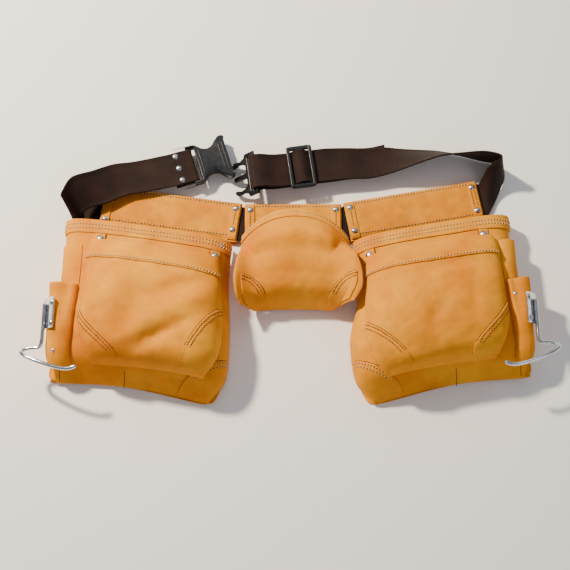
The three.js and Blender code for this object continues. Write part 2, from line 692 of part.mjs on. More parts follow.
const polygon = (points) => new THREE.Shape(points.map(([x, y]) => new THREE.Vector2(x, y)));
const block = (x, y, z) => new THREE.BoxGeometry(x[1] - x[0], y[1] - y[0], z[1] - z[0])
  .translate((x[0] + x[1]) / 2, (y[0] + y[1]) / 2, (z[0] + z[1]) / 2);
const slotHalf = half + 0.9;

// Socket half: waisted body with a hollow mouth, and the bar the strap loops round
const socketSide = [[-8, 29], [0, 29], [6, 28.4], [10, 24.5], [15, 20], [22, 18], [29, 20.5], [35, 27], [41, 32],
  [46, 32.5], [48, 29]];
const socketOutline = [...socketSide, ...socketSide.map(([x, y]) => [x, -y]).reverse()];
const socketBody = extrude(polygon(socketOutline), socket.thick).translate(0, 0, -socket.thick / 2);
const socketParts = cut(
  socketBody,
  block([-3, 4], [-slotHalf, slotHalf], [-9, 9]),
  block([-9, -2.9], [-slotHalf, slotHalf], [socket.barThick / 2, 9]),
  block([-9, -2.9], [-slotHalf, slotHalf], [-9, -socket.barThick / 2]),
  block([12, 49], [-12, 12], [-3.4, 3.4]),
  block([34, 49], [-26, 26], [-3.4, 3.4]),
);
const socketAxis = new THREE.Vector3(socket.axis.x, socket.axis.y, 0);
add('buckle_socket', inPlane(socketParts, new THREE.Vector3(...socket.middle, socket.level), socketAxis,
  new THREE.Vector3(-socket.axis.y, socket.axis.x, 0)), 'plastic_black');
[18.5, 0, -18.5].forEach((side, k) => {
  rivet(`rivet_belt_${k}`, new THREE.Vector3(...socketPlace(-24, side), socketTop + 0.3 + beltThick / 2), upward);
});

// Slider with two slots
const sliderFrame = cut(
  block([-18, 18], [-32, 32], [-ladder.thick / 2, ladder.thick / 2]),
  block([4, 14], [-slotHalf, slotHalf], [-9, 9]),
  block([-14, -4], [-slotHalf, slotHalf], [-9, 9]),
);
const ladderAxis = new THREE.Vector3(ladder.axis.x, ladder.axis.y, 0);
const ladderSide = new THREE.Vector3(-ladder.axis.y, ladder.axis.x, 0);
add('belt_slider', inPlane(sliderFrame,
  new THREE.Vector3(...ladder.middle, ladder.level), ladderAxis, ladderSide), 'plastic_black');

// Plug half: a frame round the strap's loop with a guide tongue and two sprung arms
const plugOutline = polygon([[-2.4, 32], [13, 32], [15, 27], [22, 24], [32, 25.5], [36, 22], [37, 18], [34, 17],
  [26, 20], [20, 19], [14, 16], [14, 4], [36, 3], [36, -3], [14, -4], [14, -16], [20, -19], [26, -20], [34, -17],
  [37, -18], [36, -22], [32, -25.5], [22, -24], [15, -27], [13, -32], [-2.4, -32]]);
const plugFrame = cut(
  extrude(plugOutline, 5).translate(0, 0, -2.5),
  block([2.4, 8.6], [-slotHalf, slotHalf], [-9, 9]),
);
const plugAxis = new THREE.Vector3(-0.78, -0.11, -0.6).normalize();
add('buckle_plug', inPlane(plugFrame,
  new THREE.Vector3(...ladderPlace(ladder.plug, 0), plugLevel), plugAxis, ladderSide), 'plastic_black');

// The origin lies on the floor under the middle of the whole apron.
const extent = new THREE.Box3().setFromObject(apron);
const home = extent.getCenter(new THREE.Vector3()).setZ(extent.min.z).negate();
apron.children.forEach((mesh) => mesh.geometry.translate(home.x, home.y, home.z));

export default apron;
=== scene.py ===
"""Carpenter's nail apron of tan leather on a brown webbing belt, lying on its back.

Sizes are millimetres in the part's own frame; meshes are written in metres.
"""

import logging
import math
from dataclasses import dataclass, field
from enum import Enum
from typing import Callable, Sequence

import bmesh
import bpy
import numpy as np
from mathutils import Matrix, Vector


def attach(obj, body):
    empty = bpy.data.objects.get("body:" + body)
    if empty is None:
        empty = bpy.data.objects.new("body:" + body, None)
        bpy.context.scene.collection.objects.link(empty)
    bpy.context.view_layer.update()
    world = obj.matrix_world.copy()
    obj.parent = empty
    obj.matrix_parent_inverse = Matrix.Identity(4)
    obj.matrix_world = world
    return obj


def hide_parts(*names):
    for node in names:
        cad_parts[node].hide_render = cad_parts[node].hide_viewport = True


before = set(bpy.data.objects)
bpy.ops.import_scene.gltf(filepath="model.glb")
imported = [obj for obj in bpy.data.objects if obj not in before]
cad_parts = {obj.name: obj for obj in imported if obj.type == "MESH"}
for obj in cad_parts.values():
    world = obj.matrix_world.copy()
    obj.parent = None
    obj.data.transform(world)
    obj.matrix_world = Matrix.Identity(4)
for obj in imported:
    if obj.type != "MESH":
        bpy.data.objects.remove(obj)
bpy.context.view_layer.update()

LOG = logging.getLogger("apron")
MM = 0.001
HOME = np.array([4.332, 60.293, 0.0])  # moves the drawing frame over the middle of the floor box
BODY = "root"
SEED = 71
SHARP = math.radians(40)  # edges that turn more than this stay sharp

# Leather and sewing
LEATHER = 2.2
TRIM = 1.6
SEAM = 0.35
TOUCH = 0.06  # gap between two sewn layers
STITCH_PITCH = 4.3
OVERCAST_PITCH = 4.1
SLANT_PITCH = 4.4
ON_TRIM = LEATHER + TOUCH + TRIM  # face of a patch or a hem over the hide's own surface

# Belt
BELT_WIDTH = 50.0
BELT_THICK = 2.2
BELT_PLAY = 0.7
RIB_PITCH = 3.3

# Tunnels, bags and pockets, measured down from the folded top edge
TUNNEL_DEPTH = 57.0
BAG_MOUTH = 66.0
BAG_FOOT = 287.0
BAG_ARCH = 8.0
BAG_SQUARENESS = 4.2
HEM_DEPTH = 21.0
POCKET_MOUTH = 99.0
POCKET_FOOT = 262.0
POCKET_SQUARENESS = 3.4

# Levels above the floor
PANEL_TOP = LEATHER
TUNNEL_BASE = PANEL_TOP + SEAM
TUNNEL_ROOM = BELT_THICK + 2 * BELT_PLAY
TUNNEL_TOP = TUNNEL_BASE + 2 * LEATHER + TUNNEL_ROOM
BELT_LEVEL = TUNNEL_BASE + LEATHER + TUNNEL_ROOM / 2
STRIP_TOP = TUNNEL_TOP + SEAM + TRIM
BAG_BASE = PANEL_TOP + SEAM

Grid = np.ndarray
Values = float | np.ndarray
Material = bpy.types.Material
Piece = bpy.types.Object
Socket = bpy.types.NodeSocket


# Numbers and curves

def mix(start: Values, end: Values, share: Values) -> Values:
    """Value between two ends.

    Args:
        start: value at share 0.
        end: value at share 1.
        share: place between them.

    Returns:
        The blended value.
    """
    return start + (end - start) * share


def smooth(start: float, end: float, value: Values) -> Values:
    """S-shaped step from 0 at start to 1 at end."""
    share = np.clip((np.asarray(value, float) - start) / (end - start), 0, 1)
    return share * share * (3 - 2 * share)


def hump(share: Values) -> Values:
    """Half sine over the shares 0 to 1."""
    return np.sin(math.pi * np.clip(share, 0, 1))


def read_row(table: Sequence[Sequence[float]], column: int, share: Values) -> np.ndarray:
    """Smooth curve through one column of a table.

    Args:
        table: rows at equal shares.
        column: column to read.
        share: place down the table, 0 to 1.

    Returns:
        The value at each share.
    """
    values = np.array([row[column] for row in table], float)
    last = len(values) - 1
    place = np.clip(share, 0, 1) * last
    first = np.minimum(np.floor(place).astype(int), last - 1)
    t = place - first

    def value(row: np.ndarray) -> np.ndarray:
        """Value of a row; the end rows stand for what lies past them."""
        return values[np.clip(row, 0, last)]

    before = (value(first + 1) - value(first - 1)) / 2
    after = (value(first + 2) - value(first)) / 2
    change = value(first + 1) - value(first)
    bend = 3 * change - 2 * before - after + t * (before + after - 2 * change)
    return value(first) + t * (before + t * bend)


def squared_oval(across: Values, squareness: float) -> tuple:
    """Half of a squared oval: side from -1 to 1 and the rise over it.

    Args:
        across: shares across.
        squareness: 2 for an oval, more for a squarer one.

    Returns:
        The side from -1 to 1 and the rise from 0 to 1.
    """
    angle = math.pi * (1 - np.asarray(across, float))
    power = 2 / squareness
    cosine = np.cos(angle)
    return np.sign(cosine) * np.abs(cosine) ** power, np.abs(np.sin(angle)) ** power


def share_at(place: Values, inner: Values, outer: Values, squareness: float) -> Values:
    """Share across a squared oval at a place between its edges."""
    side = np.clip((2 * place - inner - outer) / (outer - inner), -0.9999, 0.9999)
    return 1 - np.arccos(np.sign(side) * np.abs(side) ** (squareness / 2)) / math.pi


def soft_noise(x: Values, y: Values, seed: int, low: float, high: float, count: int = 9) -> Values:
    """Sum of crossing waves, about -1 to 1.

    Args:
        x: places along X.
        y: places along Y.
        seed: fixed start of the random numbers.
        low: shortest wave in millimetres.
        high: longest wave in millimetres.
        count: number of waves.

    Returns:
        Height at every place.
    """
    rng = np.random.default_rng(seed)
    total = np.zeros(np.broadcast(x, y).shape)
    for _ in range(count):
        heading = rng.uniform(0, 2 * math.pi)
        wave = rng.uniform(low, high)
        way = x * math.cos(heading) + y * math.sin(heading)
        total += np.sin(2 * math.pi * way / wave + rng.uniform(0, 6.3))
    return total / math.sqrt(2 * count)


@dataclass(frozen=True)
class Dent:
    """Soft hollow or swelling of the leather, placed on the floor plan."""

    x: float
    y: float
    long: float
    wide: float
    turn: float
    depth: float

    def at(self, x: Values, y: Values) -> Values:
        """Height it adds at a place.

        Args:
            x: places along X.
            y: places along Y.

        Returns:
            The added heights.
        """
        angle = math.radians(self.turn)
        u = (x - self.x) * math.cos(angle) + (y - self.y) * math.sin(angle)
        v = (y - self.y) * math.cos(angle) - (x - self.x) * math.sin(angle)
        return self.depth * np.exp(-((u / self.long) ** 2) - (v / self.wide) ** 2)


def dented(points: np.ndarray, share: Values, dents: Sequence[Dent], seed: int,
           wave: float = 0.55) -> np.ndarray:
    """Adds dents and slow unevenness to a surface.

    Args:
        points: places of the surface.
        share: how far the place belongs to the front, 0 to 1.
        dents: hollows and swellings.
        seed: fixed start of the unevenness.
        wave: height of the unevenness.

    Returns:
        The moved places.
    """
    x, y = points[..., 0], points[..., 1]
    rise = wave * soft_noise(x, y, seed, 26, 90) + 0.35 * wave * soft_noise(x, y, seed + 1, 9, 22)
    for dent in dents:
        rise = rise + dent.at(x, y)
    moved = points.copy()
    moved[..., 2] += rise * share
    return moved


class Surface:
    """Surface given by two shares, with its normals."""

    def __init__(self, place: Callable, front: float = 0.4) -> None:
        """Args:
            place: function from (across, along) to points in millimetres.
            front: share along at which the surface faces up.
        """
        self.place = place
        self.facing = 1.0
        self.facing = 1.0 if self.normal(np.array([0.5]), np.array([front]))[0, 2] > 0 else -1.0

    def normal(self, across: Values, along: Values) -> Grid:
        """Unit normals that point away from the floor side.

        Args:
            across: shares across.
            along: shares along.

        Returns:
            The unit normals.
        """
        step = 0.004
        left, right = (np.clip(across + way, 0, 1) for way in (-step, step))
        above, below = (np.clip(along + way, 0, 1) for way in (-step, step))
        sideways = self.place(right, along) - self.place(left, along)
        downward = self.place(across, below) - self.place(across, above)
        cross = np.cross(sideways, downward) * self.facing
        return cross / np.maximum(np.linalg.norm(cross, axis=-1, keepdims=True), 1e-9)

    def at(self, across: Values, along: Values, lift: Values = 0.0) -> Grid:
        """Points at a height over the surface."""
        across, along = np.broadcast_arrays(np.asarray(across, float), np.asarray(along, float))
        return self.place(across, along) + self.normal(across, along) * np.asarray(lift)[..., None]


# Meshes

def to_object(name: str, points: np.ndarray, faces: Sequence, material: Material,
              smooth_faces: bool = True) -> Piece:
    """Closed mesh object with faces turned outward.

    Args:
        name: piece name.
        points: places in millimetres.
        faces: index tuples.
        material: finish of all faces.
        smooth_faces: shading.

    Returns:
        The object, linked to the scene.
    """
    mesh = bpy.data.meshes.new(name)
    mesh.from_pydata((np.asarray(points) * MM).tolist(), [], [tuple(face) for face in faces])
    work = bmesh.new()
    work.from_mesh(mesh)
    bmesh.ops.recalc_face_normals(work, faces=work.faces)
    work.to_mesh(mesh)
    work.free()
    mesh.polygons.foreach_set("use_smooth", [smooth_faces] * len(mesh.polygons))
    mesh.materials.append(material)
    piece = bpy.data.objects.new(name, mesh)
    bpy.context.scene.collection.objects.link(piece)
    return piece


def plain(piece: Piece, name: str) -> Piece:
    """Mesh object without modifiers in place of a curve or a modified object.

    Args:
        piece: object to read.
        name: piece name.

    Returns:
        The new object.
    """
    bpy.context.view_layer.update()
    graph = bpy.context.evaluated_depsgraph_get()
    mesh = bpy.data.meshes.new_from_object(piece.evaluated_get(graph), depsgraph=graph)
    mesh.name = name
    old = piece.data
    bpy.data.objects.remove(piece)
    if isinstance(old, bpy.types.Curve):
        bpy.data.curves.remove(old)
    result = bpy.data.objects.new(name, mesh)
    bpy.context.scene.collection.objects.link(result)
    return result


def put_on(piece: Piece, nodes: Sequence[str] = ()) -> None:
    """Fixes a piece to the body and hides the drawing's parts that it replaces.

    Args:
        piece: finished object.
        nodes: parts of the drawing it replaces.
    """
    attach(piece, BODY)
    if nodes:
        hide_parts(*nodes)
    LOG.info("%s: %d faces", piece.name, len(piece.data.polygons))


def spaced(length: float, step: float, rim: float) -> np.ndarray:
    """Distances along a side, close together at both ends.

    Args:
        length: length of the side.
        step: usual distance between two points.
        rim: width of the rounded edge.

    Returns:
        The distances from the start.
    """
    ends = np.array([0, 0.1, 0.35, 0.7, 1.1, 2.0]) * rim
    count = max(int(round((length - 2 * ends[-1]) / step)), 1)
    middle = np.linspace(ends[-1], length - ends[-1], count + 1)
    return np.concatenate([ends[:-1], middle, (length - ends[:-1])[::-1]])


def lengths(points: np.ndarray) -> np.ndarray:
    """Running length of a line of points."""
    return np.concatenate([[0], np.cumsum(np.linalg.norm(np.diff(points, axis=0), axis=1))])


def shell(outer: Grid, inner: Grid) -> tuple:
    """Points and faces of the closed shell between two grids.

    Args:
        outer: outer grid of points.
        inner: inner grid of points.

    Returns:
        Points and faces.
    """
    rows, columns = outer.shape[:2]
    points = np.concatenate([outer.reshape(-1, 3), inner.reshape(-1, 3)])
    index = np.arange(rows * columns).reshape(rows, columns)
    under = index + rows * columns
    quads = [np.stack([grid[:-1, :-1], grid[:-1, 1:], grid[1:, 1:], grid[1:, :-1]], -1).reshape(-1, 4)
             for grid in (index, under)]
    loop = np.concatenate([index[0, :-1], index[:-1, -1], index[-1, :0:-1], index[:0:-1, 0]])
    after = np.roll(loop, -1)
    shift = rows * columns
    quads[1] = quads[1][:, ::-1]
    quads.append(np.stack([loop, loop + shift, after + shift, after], -1))
    return points, np.concatenate(quads)


@dataclass
class Hide:
    """Leather piece cut from a surface, with rounded edges.

    place turns the piece's own shares (x, y) into shares of the surface; lift is the
    height of its under side over the surface.
    """

    surface: Surface
    place: Callable
    lift: Callable
    thick: float
    step: float = 3.0
    puff: float = 0.0
    rounding: float = 0.46
    puff_reach: float = 2.5
    wear_reach: float = 1.1

    def shares(self) -> list:
        """Even shares in both directions and their distances from the start.

        Returns:
            For each direction the shares, their distances and the whole length.
        """
        result = []
        for flip in (False, True):
            run = np.linspace(0, 1, 241)
            rest = np.full_like(run, 0.5)
            x, y = (rest, run) if flip else (run, rest)
            line = self.surface.at(*self.place(x, y), self.lift(x, y) * 1.0)
            length = lengths(line)
            marks = spaced(length[-1], self.step, self.thick)
            result.append((np.interp(marks, length, run), marks, length[-1]))
        return result

    def grids(self) -> tuple:
        """Outer and inner grid and the distance of each point from the cut edge.

        Returns:
            Outer grid, inner grid and distances.
        """
        (xs, across, width), (ys, down, depth) = self.shares()
        x, y = np.meshgrid(xs, ys)
        side = np.minimum(across, width - across)[None, :]
        end = np.minimum(down, depth - down)[:, None]
        rim = np.minimum(side, end)
        radius = self.thick * self.rounding
        short = np.clip(radius - rim, 0, radius)
        drop = radius - np.sqrt(np.maximum(radius ** 2 - short ** 2, 0))
        rise = self.lift(x, y) * 1.0
        belly = self.puff * (1 - np.exp(-rim / self.puff_reach))
        place = self.place(x, y)
        outer = self.surface.at(*place, rise + self.thick + belly - drop)
        inner = self.surface.at(*place, rise + drop)
        return outer, inner, rim

    def build(self, name: str, material: Material) -> Piece:
        """Makes the piece's object with its edge and flesh-side shares.

        Args:
            name: piece name.
            material: its finish.

        Returns:
            The finished piece.
        """
        outer, inner, rim = self.grids()
        points, faces = shell(outer, inner)
        piece = to_object(name, points, faces, material)
        wear = np.exp(-(rim / self.wear_reach) ** 2).reshape(-1)
        mark(piece, "edge", np.concatenate([wear, wear]))
        mark(piece, "flesh", np.concatenate([np.zeros(wear.size), np.ones(wear.size)]))
        return piece


def mark(piece: Piece, name: str, values: np.ndarray) -> None:
    """Writes one number per point for the finish to read."""
    layer = piece.data.attributes.new(name, "FLOAT", "POINT")
    layer.data.foreach_set("value", np.asarray(values, np.float32))


def level(height: float) -> Callable:
    """Lift of one height everywhere."""
    return lambda x, y: np.full(np.broadcast(x, y).shape, float(height))


def whole(x: Values, y: Values) -> tuple:
    """The full surface."""
    return x, y


def span(across: Sequence[float], along: Sequence[float]) -> Callable:
    """Straight-sided window of a surface."""
    return lambda x, y: (mix(across[0], across[1], x), mix(along[0], along[1], y))


def corner(across: Sequence[float], start: float, end: float, foot: float = 0.965,
           bow: float = 0.8) -> Callable:
    """Corner piece that starts on an arc and runs down to the foot.

    Args:
        across: share at the side edge and share where the arc meets the foot.
        start: share along at the side edge.
        end: share along at the foot.
        foot: share along of the lower edge.
        bow: 0 for a straight upper edge, 1 for a quarter oval.

    Returns:
        Function from the piece's shares to the surface's shares.
    """

    def place(x: Values, y: Values) -> tuple:
        """Shares of the surface at shares of the piece."""
        arc = mix(start, end, mix(x, 1 - np.sqrt(np.maximum(1 - x * x, 0)), bow))
        return mix(across[0], across[1], x), mix(arc, foot, y)

    return place


# Finishes

def linear(hex_colour: str) -> tuple:
    """Linear RGBA from an sRGB hex colour."""
    values = [int(hex_colour[i:i + 2], 16) / 255 for i in (1, 3, 5)]
    return tuple(v / 12.92 if v <= 0.04045 else ((v + 0.055) / 1.055) ** 2.4 for v in values) + (1.0,)


def add_node(tree: bpy.types.NodeTree, kind: str, inputs: dict = None, **settings: object) -> bpy.types.Node:
    """Adds a node with its settings, values and links.

    Args:
        tree: node tree it goes into.
        kind: node type.
        inputs: socket name or number to a value or to an output to link.
        settings: node properties.

    Returns:
        The node.
    """
    made = tree.nodes.new(kind)
    for name, value in settings.items():
        setattr(made, name, value)
    for key, value in (inputs or {}).items():
        if isinstance(value, bpy.types.NodeSocket):
            tree.links.new(value, made.inputs[key])
        else:
            made.inputs[key].default_value = value
    return made


class Shader:
    """Node tree of one finish."""

    def __init__(self, name: str) -> None:
        """Starts an empty tree.

        Args:
            name: material name.
        """
        self.material = bpy.data.materials.new(name)
        self.material.use_nodes = True
        self.tree = self.material.node_tree
        self.tree.nodes.clear()
        self.output = self.tree.nodes.new("ShaderNodeOutputMaterial")
        self.object = self.add("ShaderNodeTexCoord").outputs["Object"]

    def add(self, kind: str, inputs: dict = None, **settings: object) -> bpy.types.Node:
        """Adds a node to this finish."""
        return add_node(self.tree, kind, inputs, **settings)

    def cloud(self, size_mm: float, detail: float = 2.0, rough: float = 0.5,
              limits: Sequence[float] = (), place: Socket = None) -> Socket:
        """Soft clouds in the surface, mapped to a share where limits are given.

        Args:
            size_mm: size of one cloud.
            detail: finer layers in it.
            rough: strength of the finer layers.
            limits: lowest and highest value read and what they become.
            place: coordinates, the object's own where none are given.

        Returns:
            The share at each place.
        """
        noise = self.add("ShaderNodeTexNoise", {"Vector": place or self.object, "Scale": 1 / (size_mm * MM),
                                                "Detail": detail, "Roughness": rough}).outputs["Fac"]
        if not limits:
            return noise
        return self.add("ShaderNodeMapRange", dict(enumerate((noise, *limits)))).outputs["Result"]

    def close(self, colour: object, layers: Sequence, reliefs: Sequence, rough: object,
              **more: float) -> Material:
        """Lays tints and reliefs over each other and closes the tree with a surface.

        Args:
            colour: ground colour.
            layers: share and colour of each tint, the lowest first.
            reliefs: height, depth in millimetres and strength of each relief.
            rough: roughness.
            more: other values of the surface.

        Returns:
            The material.
        """
        for share, tone in layers:
            mixed = self.add("ShaderNodeMix", {0: share, 6: colour, 7: tone}, data_type="RGBA")
            colour = mixed.outputs[2]
        inputs = {"Base Color": colour, "Roughness": rough}
        for height, depth_mm, strength in reliefs:
            before = {"Normal": inputs["Normal"]} if "Normal" in inputs else {}
            bump = self.add("ShaderNodeBump", {"Height": height, "Distance": depth_mm * MM,
                                               "Strength": strength, **before})
            inputs["Normal"] = bump.outputs["Normal"]
        inputs.update({key.replace("_", " "): value for key, value in more.items()})
        surface = self.add("ShaderNodeBsdfPrincipled", inputs)
        self.tree.links.new(surface.outputs[0], self.output.inputs["Surface"])
        return self.material


@dataclass(frozen=True)
class LeatherLook:
    """Chrome-tanned cowhide split, dyed golden tan.

    Splitting and dyeing leave uneven golden and ruddy clouds; the sueded face is matt with a fine pebbled
    grain whose valleys are darkened as painted shade, and the flesh side and cut edges are browner and paler.
    The grain is drawn about three times as coarse as a real split's so that it shows.
    """

    deep: str = "#a65200"
    body: str = "#e08406"
    light: str = "#f8ac1e"
    edge: str = "#f0a94c"
    flesh: str = "#a9672c"
    ruddy: str = "#c85f08"
    olive: str = "#b0802a"
    grain_mm: float = 1.5
    pore_mm: float = 0.7

    def make(self, name: str, warmth: float = 0.0) -> Material:
        """Builds the material.

        Args:
            name: material name.
            warmth: 0 for golden tan, 1 for the deeper orange.

        Returns:
            The material.
        """
        s = Shader(name)
        shifted = s.add("ShaderNodeVectorMath", {0: s.object, 1: (0.31, 0.17, 0.05)},
                        operation="ADD").outputs[0]
        cells = s.add("ShaderNodeTexVoronoi", {"Vector": s.object, "Scale": 1 / (self.grain_mm * MM),
                                               "Randomness": 1.0}, feature="DISTANCE_TO_EDGE")
        cells = cells.outputs["Distance"]
        # between darkens the valleys between the grain's pebbles toward the deep tone: painted shade
        pebble, between = (s.add("ShaderNodeMapRange", dict(enumerate((cells, 0.0, 0.35, *ends)))).outputs[0]
                           for ends in ((0.0, 1.0), (0.13, 0.0)))
        edge, flesh = (s.add("ShaderNodeAttribute", attribute_name=part).outputs["Fac"]
                       for part in ("edge", "flesh"))
        cut, back = (s.add("ShaderNodeMath", {0: value, 1: share}, operation="MULTIPLY").outputs[0]
                     for value, share in ((edge, 0.3), (flesh, 0.8)))
        layers = ((s.cloud(85, 3, 0.55, (0.36 - 0.12 * warmth, 0.66, 0.0, 1.0)), self.light),
                  (s.cloud(17, 3, 0.6, (0.3, 0.7, 0.0, 0.16 + 0.25 * warmth)), self.deep),
                  (s.cloud(48, 2, 0.5, (0.5, 0.72, 0.0, 0.32)), self.ruddy),
                  (s.cloud(36, 3, 0.6, (0.5, 0.75, 0.0, 0.38), shifted), self.olive),
                  (between, self.deep),
                  (s.cloud(6, 4, 0.7, (0.62, 0.8, 0.0, 0.18)), self.light),
                  (cut, self.edge),
                  (back, self.flesh))
        worn = s.add("ShaderNodeMath", {0: s.cloud(9, 3), 1: flesh}, operation="ADD").outputs[0]
        rough = s.add("ShaderNodeMapRange", dict(enumerate((worn, 0.3, 1.3, 0.66, 0.95)))).outputs[0]
        reliefs = ((s.cloud(14, 3, 0.55), 0.8, 0.35), (pebble, 0.16, 0.45),
                   (s.cloud(self.pore_mm, 2, 0.5, (0.35, 0.6, 0.0, 1.0)), 0.07, 0.4))
        return s.close(linear(self.body), [(share, linear(tone)) for share, tone in layers], reliefs, rough,
                       Specular_IOR_Level=0.08)


@dataclass(frozen=True)
class WebbingLook:
    """Woven polypropylene belt webbing, dark brown.

    The filaments give a low sheen, the twill lies at a slant and a rib crosses the belt every few
    millimetres. The twill is drawn coarser than the real thread so that it shows. The troughs between
    the ribs carry painted shade, and the raised threads carry a painted highlight mixed with random mottle.
    """

    # tone of the painted shade in the rib troughs
    dark: str = "#040201"
    body: str = "#120705"
    # tone of the random mottle and fibre fuzz, and of the painted highlight on raised threads
    bright: str = "#301a14"
    twill_mm: float = 1.65
    cord_mm: float = 1.25

    def make(self) -> Material:
        """Builds the material; its map runs in millimetres along and across the belt.

        Returns:
            The material.
        """
        s = Shader("polypropylene webbing brown")
        place = s.add("ShaderNodeUVMap", uv_map="weave").outputs["UV"]
        split = s.add("ShaderNodeSeparateXYZ", {"Vector": place})
        u, v = split.outputs["X"], split.outputs["Y"]
        slants = [s.add("ShaderNodeMath", {0: u, 1: v}, operation=operation).outputs[0]
                  for operation in ("ADD", "SUBTRACT")]
        waves = []
        for value, pitch in ((slants[0], self.twill_mm), (slants[1], self.twill_mm), (u, RIB_PITCH),
                             (v, self.cord_mm)):
            turn = s.add("ShaderNodeMath", {0: value, 1: 2 * math.pi / pitch},
                         operation="MULTIPLY").outputs[0]
            waves.append(s.add("ShaderNodeMath", {0: turn}, operation="SINE").outputs[0])
        twill = s.add("ShaderNodeMath", {0: waves[0], 1: waves[1]}, operation="MULTIPLY").outputs[0]
        parts = [s.add("ShaderNodeMath", {0: value, 1: share}, operation="MULTIPLY").outputs[0]
                 for value, share in ((twill, 0.5), (waves[3], 0.35))]
        height = s.add("ShaderNodeMath", {0: parts[0], 1: parts[1]}, operation="ADD").outputs[0]
        # raised threads get lighter: painted highlight, mixed with a random cloud mottle
        raised = s.add("ShaderNodeMath", {0: height, 1: 0.22}, operation="MULTIPLY").outputs[0]
        highlight_and_mottle = s.add("ShaderNodeMath", {0: raised, 1: s.cloud(30, 2)}, operation="ADD").outputs[0]
        # the second map darkens the troughs between the ribs toward the dark tone: painted shade
        tone, shade_line = (s.add("ShaderNodeMapRange", dict(enumerate(ends))).outputs[0]
                        for ends in ((highlight_and_mottle, 0.2, 0.85, 0.0, 1.0), (waves[2], -1.0, -0.2, 0.55, 0.0)))
        fibre = s.cloud(0.5, 2)
        bright = linear(self.bright)
        fuzz = (s.cloud(0.5, 2, 0.5, (0.45, 0.75, 0.0, 0.35)), bright)
        layers = ((tone, bright), (shade_line, linear(self.dark)), fuzz)
        return s.close(linear(self.body), layers, ((height, 0.22, 0.6), (fibre, 0.08, 0.35)), 0.72,
                       Specular_IOR_Level=0.2, Sheen_Weight=0.05)


@dataclass(frozen=True)
class PlasticLook:
    """Injection-moulded acetal, black: even colour, soft gloss and a faint mould grain."""

    dark: str = "#03050b"
    light: str = "#0a0f1c"

    def make(self) -> Material:
        """Builds the material.

        Returns:
            The finish.
        """
        s = Shader("moulded acetal black")
        layers, reliefs = ((s.cloud(20, 2), linear(self.light)),), ((s.cloud(0.45, 2), 0.035, 0.3),)
        return s.close(linear(self.dark), layers, reliefs, s.cloud(7, 3, 0.5, (0.3, 0.7, 0.26, 0.4)),
                       Specular_IOR_Level=0.4)


@dataclass(frozen=True)
class SteelLook:
    """Plated steel: mirror-bright chromed wire, or duller barrel-plated rivet heads."""

    name: str
    tone: str
    least: float
    most: float
    shade: str = "#8d8f92"

    def make(self) -> Material:
        """Builds the material.

        Returns:
            The finish.
        """
        s = Shader(self.name)
        layers = ((s.cloud(9, 3, 0.5, (0.45, 0.8, 0.0, 0.5)), linear(self.shade)),)
        return s.close(linear(self.tone), layers, ((s.cloud(2.2, 3), 0.015, 0.25),),
                       s.cloud(6, 3, 0.5, (0.3, 0.7, self.least, self.most)), Metallic=1.0)


@dataclass(frozen=True)
class ThreadLook:
    """Bonded nylon sewing thread, twisted: matt, with darker flecks painted in as the shade in the hollows
    between the plies.
    """

    name: str
    tone: str
    # tone of the flecks of painted shade between the plies
    hollow: str = "#8a5a26"

    def make(self) -> Material:
        """Builds the material.

        Returns:
            The finish.
        """
        s = Shader(self.name)
        # random flecks take the darker tone as painted shade between the plies
        layers, reliefs = ((s.cloud(1.2, 2), linear(self.hollow)),), ((s.cloud(0.3, 1), 0.06, 0.4),)
        return s.close(linear(self.tone), layers, reliefs, 0.6)


@dataclass(frozen=True)
class SeamShadeLook:
    """Painted shade: dark, quite matt marks standing in for the shade in needle holes and the shadow lines
    beside sewn edges, seams and slits.
    """

    tone: str = "#42200a"

    def make(self) -> Material:
        """Builds the material."""
        return Shader("pierced hide dark").close(linear(self.tone), (), (), 0.9)


class Finish(Enum):
    """Named finishes and a slot name for each; nothing in the script reads them."""

    HIDE = "leather_tan"
    WEBBING = "webbing_brown"
    PLASTIC = "plastic_black"
    STEEL = "steel_bright"


@dataclass
class Palette:
    """All materials of the apron."""

    hide: Material
    hide_deep: Material
    webbing: Material
    plastic: Material
    wire: Material
    rivet: Material
    thread: Material
    thread_dark: Material
    # dark finish of the painted shade in needle holes and the painted shadow lines beside seams
    pierced: Material

    @classmethod
    def make(cls) -> "Palette":
        """Builds every material once.

        Returns:
            The palette.
        """
        look = LeatherLook()
        return cls(
            hide=look.make("cowhide split golden tan"),
            hide_deep=look.make("cowhide split deeper tan", 1.0),
            webbing=WebbingLook().make(),
            plastic=PlasticLook().make(),
            wire=SteelLook("chromed steel wire", "#dfe3e8", 0.1, 0.2).make(),
            rivet=SteelLook("nickel plated steel rivet", "#bfc2c6", 0.2, 0.38).make(),
            thread=ThreadLook("bonded nylon thread tan", "#ffd594").make(),
            thread_dark=ThreadLook("bonded nylon thread brown", "#9a5618").make(),
            pierced=SeamShadeLook().make(),
        )


# Sewing

@dataclass
class SeamLine:
    """Places of stitches with their run and the direction off the leather."""

    points: np.ndarray
    runs: np.ndarray
    normals: np.ndarray


